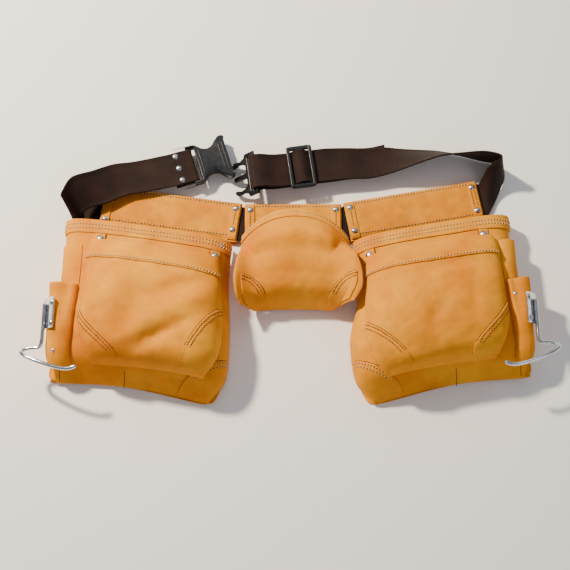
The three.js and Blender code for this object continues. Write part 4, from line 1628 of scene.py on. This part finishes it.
@dataclass
class CentrePocket:
    """Centre pocket: back, full front, hem and corner patches."""

    palette: Palette
    repeat: Repeat
    mouth: float = 10.0
    mouth_drop: float = 36.0
    foot: float = -120.0
    foot_drop: float = 5.0
    shoulder: float = 52.0
    play: float = 4.4
    toe: Toe = Toe(2, CENTRE_ROWS, 0.72, 4.2, 0.4)

    def __post_init__(self) -> None:
        """Makes the two surfaces and starts the sewing."""
        self.sewing = Sewing("centre_pocket", self.repeat, self.palette)
        self.back = Surface(lambda across, along: self.base(across, along, lambda shoulder: 0))
        self.front = Surface(self.front_place)

    def base(self, across: Values, along: Values, lift: Callable) -> Grid:
        """Back of the pocket, resting on the bags' shoulders.

        Args:
            across: shares across.
            along: shares along.
            lift: function from the shoulders' height to the height over the bed.

        Returns:
            The points.
        """
        x = mix(read_row(CENTRE_ROWS, 0, along), read_row(CENTRE_ROWS, 1, along), across)
        side = np.abs(2 * across - 1)
        mouth = self.mouth - self.mouth_drop * side ** 2.2
        foot = self.foot - self.foot_drop * side ** 2
        shoulder = self.shoulder * smooth(48, 85, np.abs(x)) * smooth(0.02, 0.4, along)
        bed = 0.6 + np.maximum(shoulder, (STRIP_TOP + SEAM) * (1 - smooth(0.28, 0.5, along)))
        return np.stack([x, mix(mouth, foot, along), bed + lift(shoulder)], -1) + HOME

    def front_place(self, across: Values, along: Values) -> Grid:
        """Full front of the pocket.

        Args:
            across: shares across.
            along: shares along.

        Returns:
            The points.
        """
        side, rise = squared_oval(across, 2.6)
        swell = self.toe.at(along)
        pucker = 0.8 * gather(along, 70 * side) * rise
        open_part = 1 - smooth(0.86, 1, along)

        def lift(shoulder: Values) -> Values:
            """Height of the front over the bed, less where it rests on a shoulder."""
            full = rise * np.maximum(swell - 0.85 * shoulder, open_part)
            return LEATHER + SEAM + self.play * open_part + full + pucker * open_part

        points = self.base((side + 1) / 2, along, lift)
        return dented(points, rise * (0.3 + 0.7 * smooth(0, 0.2, along)), CENTRE_DENTS, SEED + 90, 0.7)

    def piece(self, name: str, hide: Hide, look: Material) -> None:
        """Builds a leather piece in place of the drawing's part of the same name."""
        put_on(hide.build(name, look), [name])

    def build(self) -> None:
        """Makes the pocket."""
        hide, top = self.palette.hide, LEATHER + TOUCH
        self.piece("centre_pocket_back", Hide(self.back, whole, level(0), LEATHER), self.palette.hide_deep)
        self.piece("centre_pocket_front", Hide(self.front, whole, level(0), LEATHER, 2.6), hide)
        hem = Hide(self.front, span((1 / 14, 13 / 14), (0, 1 / 9)), level(top), TRIM, 2.2, 0.5)
        self.piece("centre_pocket_hem", hem, hide)
        run = np.linspace(1.15 / 14, 12.85 / 14, 500)
        self.sewing.row(self.front, run, np.full_like(run, 0.52 / 9), ON_TRIM + 0.35, 0.0, Thread.SLANT,
                        SLANT_PITCH)
        for end, across, side in (("left", (2 / 14, 5 / 14), -1), ("right", (12 / 14, 9 / 14), 1)):
            place = corner(across, 0.64, 0.95, 0.975, 0.8)
            self.piece(f"centre_patch_{end}", Hide(self.front, place, level(top), TRIM, 2.0, 0.25), hide)
            patch_seams(self.sewing, self.front, place, ON_TRIM + 0.25, side)
        self.sewing.build()


# Belt

def unit(vector: Sequence[float]) -> np.ndarray:
    """Vector of length one."""
    vector = np.asarray(vector, float)
    return vector / np.linalg.norm(vector)


def spline(points: np.ndarray, places: np.ndarray) -> np.ndarray:
    """Smooth curve through points, read at places counted in points.

    Args:
        points: corners of the curve.
        places: places counted in points.

    Returns:
        The points read.
    """
    points = np.asarray(points, float)
    grown = np.concatenate([[2 * points[0] - points[1]], points, [2 * points[-1] - points[-2]]])
    first = np.minimum(np.floor(places).astype(int), len(points) - 2)
    t = (places - first)[:, None]
    p0, p1, p2, p3 = (grown[first + k] for k in range(4))
    before, after = (p2 - p0) / 2, (p3 - p1) / 2
    change = p2 - p1
    return p1 + t * (before + t * (3 * change - 2 * before - after + t * (before + after - 2 * change)))


@dataclass(frozen=True)
class Hardware:
    """Place of a buckle half on the floor plan: middle, strap direction and level."""

    middle: Sequence[float]
    heading: Sequence[float]
    level: float
    thick: float

    @property
    def axis(self) -> np.ndarray:
        """Strap direction."""
        return unit(self.heading)

    def place(self, along: float, across: float) -> tuple:
        """Floor place beside the bar."""
        x, y = self.axis
        return (self.middle[0] + x * along - y * across, self.middle[1] + y * along + x * across)


SOCKET = Hardware((-136.3, 88.9), (0.955, 0.296), 14.5, 4.0)
SLIDER = Hardware((11.6, 81.6), (-66.4, -9.5), 25.0, 4.0)
SOCKET_THICK = 12.0
PLUG_ALONG = 65.0
PLUG_LEVEL = 27.0
PLUG_AXIS = unit((-0.78, -0.11, -0.6))
WRAP = BELT_THICK / 2 + SEAM + 0.3
SLOT_HALF = BELT_WIDTH / 2 + 0.9

LEFT_TURN = (((-222, 92, 20), (-203, 45.5, 20)), ((-250, 85.4, 26), (-229, 40, 21)),
             ((-278, 71, 39), (-254, 28, 23)), ((-301, 51, 50), (-281, 18.5, 24)),
             ((-314, 32, 52), (-297, 9.5, 12)), ((-314.5, 27, 45), (-303, 7.5, 4.5)),
             ((-306, 44, 25), (-301, 3, 2.4)), ((-292, 58, 12), (-291, 8.4, 3)))
RIGHT_TURN = (((268, 72, 30), (281, 35, 3)), ((277, 79, 44), (290, 57, 2)),
              ((284.5, 81.5, 50.5), (296.5, 74, 1.8)),
              ((287, 86.5, 51), (295.5, 88, 1.6)), ((279, 90.5, 51), (284, 97.5, 1.6)),
              ((262, 93, 51), (264, 102.5, 1.6)), ((235.6, 92.1, 48), (235.6, 110.5, 1.6)),
              ((207, 90.1, 44), (204, 116.3, 1.8)), ((184.4, 86, 38), (179.5, 117.6, 2.6)),
              ((159.9, 79.5, 31), (154.7, 118.7, 4)), ((131.9, 73, 21), (130, 119.7, 7)),
              ((107.4, 68, 19), (106.9, 115.8, 11)), ((80, 65.5, 21), (82, 114.5, 16)))
TAIL = (((81, 67, 17), (83, 116, 12)), ((106, 70.5, 15), (107.2, 119.3, 7)),
        ((128, 79, 14), (131, 126.5, 2.8)))


@dataclass
class Belt:
    """Webbing ribbon through buckle, tunnels, slider and plug, with woven ribs."""

    palette: Palette
    rib: float = 0.16
    under_rib: float = 0.9
    slack: float = 0.5
    weave_gap: float = 0.8
    plug_loop: float = 5.2
    left_outs: Sequence[float] = (200, 191, 130, 60, 2)
    centre_outs: Sequence[float] = (-64.5, 0, 65)
    right_outs: Sequence[float] = (-13, 50, 110, 172, 178)
    far: list = field(default_factory=list)
    near: list = field(default_factory=list)

    def pair(self, far: Sequence[float], near: Sequence[float]) -> None:
        """Adds the two edge points of one cross section."""
        self.far.append(far)
        self.near.append(near)

    def turns(self, pairs: Sequence) -> None:
        """Adds cross sections whose far edge follows from the belt's width.

        Args:
            pairs: far and near edge points.
        """
        for far, near in pairs:
            near = np.asarray(near, float)
            self.pair(near + unit(np.asarray(far, float) - near) * BELT_WIDTH, near)

    def strap(self, part: Hardware, rows: Sequence) -> None:
        """Adds cross sections along a buckle half."""
        for along, up in rows:
            self.pair((*part.place(along, BELT_WIDTH / 2), up), (*part.place(along, -BELT_WIDTH / 2), up))

    def through(self, wing: Wing, outs: Sequence[float]) -> None:
        """Adds cross sections inside a tunnel.

        Args:
            wing: half of the apron whose tunnel it is.
            outs: places out along the wing.
        """
        start = LEATHER + BELT_PLAY
        for out in outs:
            far, near = (wing.point(out, down, BELT_LEVEL) - HOME for down in (start, start + BELT_WIDTH))
            self.pair(far, near)

    def route(self) -> None:
        """Collects the cross sections from the socket to the tail."""
        level = SOCKET.level
        top, under = level + SOCKET.thick / 2 + WRAP, level - SOCKET.thick / 2 - WRAP
        self.strap(SOCKET, ((-34, under), (-20, under), (-10, under), (-4.6, under), (-1.6, under + 1.4),
                            (-0.9, level), (-1.6, top - 1.4), (-4.6, top), (-10, top), (-22, top + 0.3),
                            (-36, top + 0.8)))
        self.turns(LEFT_TURN)
        self.through(LEFT, self.left_outs)
        self.through(CENTRE, self.centre_outs)
        self.through(RIGHT, self.right_outs)
        self.turns(RIGHT_TURN)
        low, high = SLIDER.level - SLIDER.thick / 2 - WRAP, SLIDER.level + SLIDER.thick / 2 + WRAP
        loop, plug, up = self.plug_loop, PLUG_ALONG, PLUG_LEVEL
        self.strap(SLIDER, ((-40, low - 1), (-20, low), (-13.6, low), (-10.5, low + 2), (-6.5, high - 2),
                            (-3.4, high), (0, high + 0.3), (3.4, high), (6.5, high - 2), (10.5, low + 2),
                            (13.6, low), (20, low), (38, 24), (54, up + loop - 1.2), (plug - 1, up + loop),
                            (plug + 3.7, up + 3.7), (plug + loop, up), (plug + 3.7, up - 3.7),
                            (plug - 1, up - loop), (54, 20.2), (38, low - 4), (20, low - 4.4), (0, low - 4.4),
                            (-20, low - 4.4), (-40, low - 5)))
        self.turns(TAIL)

    def build(self) -> None:
        """Makes the ribbon with cross ribs and thicker bound edges."""
        self.route()
        count = len(self.far) - 1
        fine = np.linspace(0, count, count * 60 + 1)
        far, near = spline(self.far, fine), spline(self.near, fine)
        length = lengths((far + near) / 2)
        steps = np.arange(0, length[-1], RIB_PITCH / 4)
        places = np.interp(steps, length, fine)
        far, near = spline(self.far, places), spline(self.near, places)
        middle = (far + near) / 2
        run = np.gradient(middle, axis=0)
        normal = np.cross(far - near, run)
        normal /= np.maximum(np.linalg.norm(normal, axis=1, keepdims=True), 1e-9)
        across = np.array([0, 0.004, 0.016, 0.04, 0.062, 0.075, 0.2, 0.35, 0.5, 0.65, 0.8, 0.925, 0.938, 0.96,
                           0.984, 0.996, 1.0])
        side = np.minimum(across, 1 - across) * BELT_WIDTH
        half = np.interp(side, (0, 0.2, 0.8, 2.0, 3.1, 3.75, 25), (0.25, 0.8, 1.2, 1.24, 1.2, 0.95, 1.0))
        ribbed = smooth(3.2, 4.2, side)[None, :]
        rib = self.rib * np.sin(2 * math.pi * steps / RIB_PITCH)[:, None] * ribbed
        x, y = middle[:, 0], middle[:, 1]
        slack = self.slack * soft_noise(x, y, SEED + 60, 25, 80)[:, None] * hump(across)[None, :]
        flat = near[:, None] + (far - near)[:, None] * across[None, :, None]
        end = np.clip(np.minimum(steps, steps[-1] - steps) / 1.2, 0.3, 1)[:, None]
        outer = flat + normal[:, None] * (half[None, :] * end + rib + slack)[..., None] + HOME
        under = half[None, :] * end - rib * self.under_rib - slack
        inner = flat - normal[:, None] * under[..., None] + HOME
        points, faces = shell(outer, inner)
        piece = to_object("belt", points, faces, self.palette.webbing)
        layer = piece.data.uv_layers.new(name="weave")
        u, v = np.meshgrid(steps, across * BELT_WIDTH, indexing="ij")
        flat_uv = np.stack([u, v], -1).reshape(-1, 2)
        flat_uv = np.concatenate([flat_uv, flat_uv + (self.weave_gap, 0)])
        corners = np.zeros(len(piece.data.loops), int)
        piece.data.loops.foreach_get("vertex_index", corners)
        layer.data.foreach_set("uv", flat_uv[corners].astype(np.float32).reshape(-1))
        put_on(piece, ["belt"])


def rounded(outline: Sequence, steps: int, share: float) -> np.ndarray:
    """Outline smoothed by a closed curve through its corners.

    Args:
        outline: corners in order.
        steps: points from corner to corner.
        share: 0 for straight sides, 1 for the full curve.

    Returns:
        The finer outline.
    """
    points = np.asarray(outline, float)
    grown = np.concatenate([points[-2:], points, points[:3]])
    places = 2 + np.arange(len(points) * steps) / steps
    straight = np.stack([np.interp(places, range(len(grown)), grown[:, k]) for k in range(2)], -1)
    return mix(straight, spline(grown, places), share)


def placed(origin: Sequence[float], along: Sequence[float], sideways: Sequence[float]) -> Matrix:
    """Frame whose X runs along the strap and Y across it, in metres.

    Args:
        origin: place of the shape's origin.
        along: direction of its first axis.
        sideways: direction of its second axis.

    Returns:
        The placing matrix.
    """
    along, sideways = Vector(along).normalized(), Vector(sideways).normalized()
    up = along.cross(sideways).normalized()
    matrix = Matrix((along, sideways, up)).transposed().to_4x4()
    matrix.translation = Vector(np.asarray(origin, float) + HOME) * MM
    return matrix


def rectangle(x: Sequence[float], y: Sequence[float], radius: float = 0.0, steps: int = 4) -> list:
    """Outline of a rectangle with rounded corners.

    Args:
        x: left and right edge.
        y: lower and upper edge.
        radius: radius of the corners.
        steps: points in each corner.

    Returns:
        The corners in order.
    """
    points = []
    for cx, cy, start in ((x[1], y[1], 0), (x[0], y[1], 90), (x[0], y[0], 180), (x[1], y[0], 270)):
        for k in range(steps + 1) if radius else (0,):
            angle = math.radians(start + 90 * k / steps)
            inset_x = cx - radius * (1 if cx == x[1] else -1)
            inset_y = cy - radius * (1 if cy == y[1] else -1)
            points.append((inset_x + radius * math.cos(angle), inset_y + radius * math.sin(angle)))
    return points


def joined(name: str, pieces: Sequence, material: Material) -> Piece:
    """One mesh of several pieces.

    Args:
        name: piece name.
        pieces: objects to join.
        material: its finish.

    Returns:
        The joined object.
    """
    work = bmesh.new()
    for piece in pieces:
        work.from_mesh(piece.data)
        bpy.data.objects.remove(piece)
    mesh = bpy.data.meshes.new(name)
    work.to_mesh(mesh)
    work.free()
    mesh.materials.clear()
    mesh.materials.append(material)
    mesh.set_sharp_from_angle(angle=SHARP)
    result = bpy.data.objects.new(name, mesh)
    bpy.context.scene.collection.objects.link(result)
    return result


@dataclass
class Buckle:
    """Side-release buckle in two halves and the belt's slider."""

    palette: Palette
    flank: Sequence = ((4, 29), (6, 28.4), (10, 24.5), (15, 20), (22, 18), (29, 20.5), (35, 27), (41, 32),
                       (46, 32.5), (48, 29))
    prong: Sequence = ((-2.4, 32), (13, 32), (15, 27), (22, 24), (32, 25.5), (36, 22), (37, 18), (34, 17),
                       (26, 20), (20, 19), (14, 16), (14, 4), (36, 3))
    ridges: Sequence = ((8.5, 19), (38, 20), (43, 22))
    ridge_wide: float = 2.2
    slots: Sequence = ((4.2, 12.6), (-12.6, -4.2))
    rims: Sequence = ((-17.8, -13), (13, 17.8))
    plug_slot: Sequence[float] = (2.4, 8.6)
    plug_thick: float = 5.0

    def part(self, name: str, outlines: Sequence, thick: float, bevel: float, at: Matrix) -> Piece:
        """One moulded plate of the set."""
        return plate(name, outlines, thick, bevel, at, self.palette.plastic)

    def place(self, piece: Piece, node: str) -> None:
        """Fixes a finished moulding in place of the drawing's part."""
        put_on(piece, [node])

    def build(self) -> None:
        """Makes socket, slider and plug."""
        self.socket()
        self.slider()
        self.plug()

    def socket(self) -> None:
        """Makes the hollow-waisted body, its bar and the grip ridges."""
        x, y = SOCKET.axis
        at = placed((*SOCKET.middle, SOCKET.level), (x, y, 0), (-y, x, 0))
        side = list(rounded(self.flank, 3, 0.65)[:-2]) + [(48, 29)]
        outline = [(-8, 29), (-7.4, 29.4)] + side + [(px, -py) for px, py in reversed(side)]
        outline += [(-7.4, -29.4), (-8, -29), (-8, -SLOT_HALF), (4, -SLOT_HALF), (4, SLOT_HALF),
                    (-8, SLOT_HALF)]
        body = self.part("socket_body", [outline], SOCKET_THICK, 1.5, at)
        bar = self.part("socket_bar", [rectangle((-8, -3), (-27, 27), 0.6)], SOCKET.thick, 1.4, at)
        face = at @ Matrix.Translation((0, 0, (SOCKET_THICK / 2) * MM))
        ridges = []
        for index, (px, half) in enumerate(self.ridges):
            outline = rectangle((px, px + self.ridge_wide), (-half, half), 1.0)
            ridges.append(self.part(f"socket_ridge_{index}", [outline], 1.6, 0.5, face))
        self.place(joined("buckle_socket", [body, bar, *ridges], self.palette.plastic), "buckle_socket")

    def slider(self) -> None:
        """Makes the two-slot frame with its raised rims."""
        x, y = SLIDER.axis
        at = placed((*SLIDER.middle, SLIDER.level), (x, y, 0), (-y, x, 0))
        slots = [rectangle(edges, (-SLOT_HALF, SLOT_HALF), 1.5) for edges in self.slots]
        body = self.part("slider_frame", [rectangle((-18, 18), (-32, 32), 5), *slots], SLIDER.thick, 1.3, at)
        face = at @ Matrix.Translation((0, 0, 1.6 * MM))
        rims = [self.part(f"slider_rim_{index}", [rectangle(edges, (-30.5, 30.5), 1.2)], 3.0, 1.0, face)
                for index, edges in enumerate(self.rims)]
        self.place(joined("belt_slider", [body, *rims], self.palette.plastic), "belt_slider")

    def plug(self) -> None:
        """Makes the plug with its three prongs and the strap slot."""
        x, y = SLIDER.axis
        at = placed((*SLIDER.place(PLUG_ALONG, 0), PLUG_LEVEL), PLUG_AXIS, (-y, x, 0))
        outline = list(self.prong) + [(px, -py) for px, py in reversed(self.prong)]
        hole = rectangle(self.plug_slot, (-SLOT_HALF, SLOT_HALF), 1.5)
        self.place(self.part("buckle_plug", [outline, hole], self.plug_thick, 1.2, at), "buckle_plug")


# Metal

RIVET_PROFILE = ((0, -0.6), (0.7, -0.6), (0.78, 0.0), (0.98, 0.02), (1.0, 0.16), (0.95, 0.3), (0.86, 0.38),
                 (0.78, 0.52), (0.62, 0.78), (0.4, 0.93), (0.2, 0.99), (0, 1.0))


def rivet(name: str, seat: Sequence[float], normal: Sequence[float], material: Material,
          node: str = "", radius: float = 4.2, height: float = 1.9) -> None:
    """Domed rivet head with a thin flange.

    Args:
        name: piece name.
        seat: place of its foot in millimetres.
        normal: direction it stands.
        material: finish.
        node: part of the drawing it replaces.
        radius: radius of the flange.
        height: height of the dome.
    """
    turn = Vector((0, 0, 1)).rotation_difference(Vector(np.ravel(normal)))
    count = 28
    points, faces = [], []
    for share, up in RIVET_PROFILE[1:-1]:
        for k in range(count):
            angle = 2 * math.pi * k / count
            local = Vector((share * radius * math.cos(angle), share * radius * math.sin(angle), up * height))
            points.append(np.ravel(seat) + np.array(turn @ local))
    ends = [np.ravel(seat) + np.array(turn @ Vector((0, 0, up * height))) for up in (-0.6, 1.0)]
    rings = len(RIVET_PROFILE) - 2
    low, top = rings * count, rings * count + 1
    for ring in range(rings - 1):
        for k in range(count):
            a, b = ring * count + k, ring * count + (k + 1) % count
            faces.append((a, b, b + count, a + count))
    for k in range(count):
        faces.append((k, (k + 1) % count, low))
        faces.append(((rings - 1) * count + k, (rings - 1) * count + (k + 1) % count, top))
    put_on(to_object(name, np.array(points + ends), faces, material), [node] if node else [])


def tube(name: str, path: np.ndarray, radius: float, material: Material, sides: int = 16) -> Piece:
    """Round bar along a path with rounded ends.

    Args:
        name: piece name.
        path: middle line in millimetres.
        radius: radius of the wire.
        material: its finish.
        sides: sides of the round.

    Returns:
        The finished piece.
    """
    run = np.gradient(path, axis=0)
    run /= np.linalg.norm(run, axis=1, keepdims=True)
    side = unit(np.cross(run[0], (0.3, 0.2, 1.0)))
    length = lengths(path)
    reach = np.minimum(length, length[-1] - length)
    size = radius * np.sqrt(np.clip(1 - (1 - np.clip(reach / radius, 0, 1)) ** 2, 0.02, 1))
    rings = []
    for k, (point, heading) in enumerate(zip(path, run)):
        side = unit(side - heading * np.dot(side, heading))
        other = np.cross(heading, side)
        angle = np.linspace(0, 2 * math.pi, sides, endpoint=False)[:, None]
        rings.append(point + size[k] * (np.cos(angle) * side + np.sin(angle) * other))
    points = np.concatenate(rings)
    faces = [list(range(sides)), list(range(len(points) - sides, len(points)))]
    for k in range(len(path) - 1):
        for s in range(sides):
            a, b = k * sides + s, k * sides + (s + 1) % sides
            faces.append((a, b, b + sides, a + sides))
    return to_object(name, points, faces, material)


@dataclass
class HammerLoop:
    """Riveted plate on the tool sleeve and the bent wire it clamps."""

    bag: MainBag
    palette: Palette
    wide: float = 24.0
    long: float = 42.0
    thick: float = 1.8
    wire: float = 2.7
    gap: float = 0.5
    rivet_place: Sequence[float] = (-6.0, 14.0)
    clamped: Sequence[float] = (-14.0, 4.0, 24.0)
    clamp_x: float = 5.5
    bends: Sequence = ((222, 254, 50), (235, 258, 48), (243, 262, 48), (244, 267, 52), (236, 272, 56),
                       (216, 278, 60), (194, 282, 62), (178, 282, 63), (167, 277, 64))

    def build(self) -> None:
        """Makes plate and wire."""
        wing, name = self.bag.wing, self.bag.wing.name

        def face(x: float, y: float) -> np.ndarray:
            """Point of the sleeve's face at its own shares."""
            return self.bag.sleeve.place(np.array([x]), np.array([y]))[0]

        middle = face(0.62, 0.42)
        across = unit(face(0.72, 0.42) - face(0.52, 0.42))
        along = unit(face(0.62, 0.6) - face(0.62, 0.24))
        normal = unit(np.cross(across, along))
        normal = normal * np.sign(normal[2])
        along = np.cross(normal, across) * wing.hand
        along = -along if along[1] > 0 else along
        axes = np.stack([across, along, normal], 1)

        def seat(x: float, y: float, z: float) -> np.ndarray:
            """Point of the plate: across it, along it and off the leather."""
            return middle + normal * self.gap + axes @ np.array([x, y, z])

        matrix = Matrix(axes.tolist()).to_4x4()
        matrix.translation = Vector(seat(0, 0, self.thick / 2)) * MM
        outline = rectangle((-self.wide / 2, self.wide / 2), (-self.long / 2, self.long / 2), 3)
        body = plate(f"hammer_plate_{name}", [outline], self.thick, 0.5, matrix, self.palette.wire)
        put_on(body, [f"hammer_plate_{name}"])
        for index, end in enumerate((-1, 1)):
            x, y = self.rivet_place
            rivet(f"plate_rivet_{name}_{index}", seat(x, end * y, self.thick), normal, self.palette.rivet)
        rise = self.thick + 0.1 + self.wire
        path = [seat(self.clamp_x, y, rise) for y in self.clamped]
        path += [wing.point(out + wing.shift, down, up) for out, down, up in self.bends]
        places = np.linspace(0, len(path) - 1, 260)
        wire = tube(f"hammer_wire_{name}", spline(np.array(path), places), self.wire, self.palette.wire)
        put_on(wire, [f"hammer_wire_{name}"])


# Studio

@dataclass(frozen=True)
class Lamp:
    """Soft round light turned to the middle of the floor: place and size in metres."""

    name: str
    place: Sequence[float]
    size: float
    power: float
    colour: str


@dataclass
class Studio:
    """Camera, pale floor and soft lights."""

    lamps: Sequence[Lamp] = (Lamp("key", (-1.25, 0.95, 1.55), 0.2, 98, "#ffedd0"),
                             Lamp("fill", (1.4, -1.5, 1.2), 1.8, 8, "#f3f6ff"),
                             Lamp("top", (0.3, 1.6, 1.9), 1.6, 9, "#ffffff"))
    look: Sequence[float] = (-0.0067, -0.0242, 0.0)
    distance: float = 1.84
    elevation: float = 70.0
    lens: float = 85.0
    floor_half: float = 9000.0
    floor_level: float = -0.4
    room: str = "#f2f4f8"
    room_strength: float = 0.3

    def camera(self) -> None:
        """Adds the camera at the picture's angle."""
        data = bpy.data.cameras.new("camera")
        data.lens = self.lens
        camera = bpy.data.objects.new("camera", data)
        bpy.context.scene.collection.objects.link(camera)
        tilt = math.radians(self.elevation)
        away = Vector((0, -math.cos(tilt), math.sin(tilt)))
        camera.location = Vector(self.look) + away * self.distance
        camera.rotation_euler = (-away).to_track_quat("-Z", "Y").to_euler()
        bpy.context.scene.camera = camera

    def build(self) -> None:
        """Adds floor, lights and surroundings."""
        look = Shader("pale studio floor").close(linear("#ffffff"), (), (), 0.85)
        half, low = self.floor_half, self.floor_level
        points = [(-half, -half, low), (half, -half, low), (half, half, low), (-half, half, low)]
        mesh = bpy.data.meshes.new("floor")
        mesh.from_pydata([tuple(value * MM for value in point) for point in points], [], [(0, 1, 2, 3)])
        mesh.materials.append(look)
        floor = bpy.data.objects.new("floor", mesh)
        bpy.context.scene.collection.objects.link(floor)
        for lamp in self.lamps:
            data = bpy.data.lights.new(lamp.name, "AREA")
            data.shape = "DISK"
            data.size = lamp.size
            data.energy = lamp.power
            data.color = linear(lamp.colour)[:3]
            light = bpy.data.objects.new(lamp.name, data)
            bpy.context.scene.collection.objects.link(light)
            light.location = lamp.place
            light.rotation_euler = (-Vector(lamp.place)).to_track_quat("-Z", "Y").to_euler()
        world = bpy.data.worlds.new("soft room")
        world.use_nodes = True
        world.node_tree.nodes["Background"].inputs["Color"].default_value = linear(self.room)
        world.node_tree.nodes["Background"].inputs["Strength"].default_value = self.room_strength
        bpy.context.scene.world = world


RIVET_ROWS = {"left": {"inner": (9, 41), "outer": (49,)}, "right": {"inner": (9, 44), "outer": (9, 44)},
              "centre": {"inner": (9,), "outer": (9,)}}


def small_metal(palette: Palette, tunnels: Sequence[Tunnel], bags: Sequence[MainBag]) -> None:
    """Rivets of strips, ears and strap end.

    Args:
        palette: finishes.
        tunnels: belt tunnels.
        bags: main bags.
    """
    for tunnel in tunnels:
        for name, seat, normal in tunnel.build():
            rivet(name, seat, normal, palette.rivet, name)
    for bag in bags:
        for name, seat, normal in bag.rivets:
            own = name.startswith("rivet_")
            radius, height = (4.8, 2.2) if own else (2.6, 1.2)
            rivet(name, seat, normal, palette.rivet, name if own else "", radius, height)
    top = SOCKET.level + SOCKET.thick / 2 + WRAP + 0.3 + BELT_THICK / 2
    for index, side in enumerate((18.5, 0, -18.5)):
        name = f"rivet_belt_{index}"
        rivet(name, np.array((*SOCKET.place(-24, side), top)) + HOME, (0, 0, 1), palette.rivet, name)


def main() -> None:
    """Builds the apron piece by piece."""
    logging.basicConfig(level=logging.INFO, format="%(message)s")
    studio = Studio()
    studio.camera()
    palette = Palette.make()
    repeat = Repeat()
    for wing in (LEFT, RIGHT):
        BackPanel(wing, palette).build()
    bags = [MainBag(wing, palette, repeat) for wing in (LEFT, RIGHT)]
    for bag in bags:
        bag.build()
        HammerLoop(bag, palette).build()
    CentrePocket(palette, repeat).build()
    tunnels = [Tunnel(wing, RIVET_ROWS[wing.name], palette, repeat) for wing in (LEFT, RIGHT, CENTRE)]
    small_metal(palette, tunnels, bags)
    Belt(palette).build()
    Buckle(palette).build()
    studio.build()


if __name__ == "__main__":
    main()
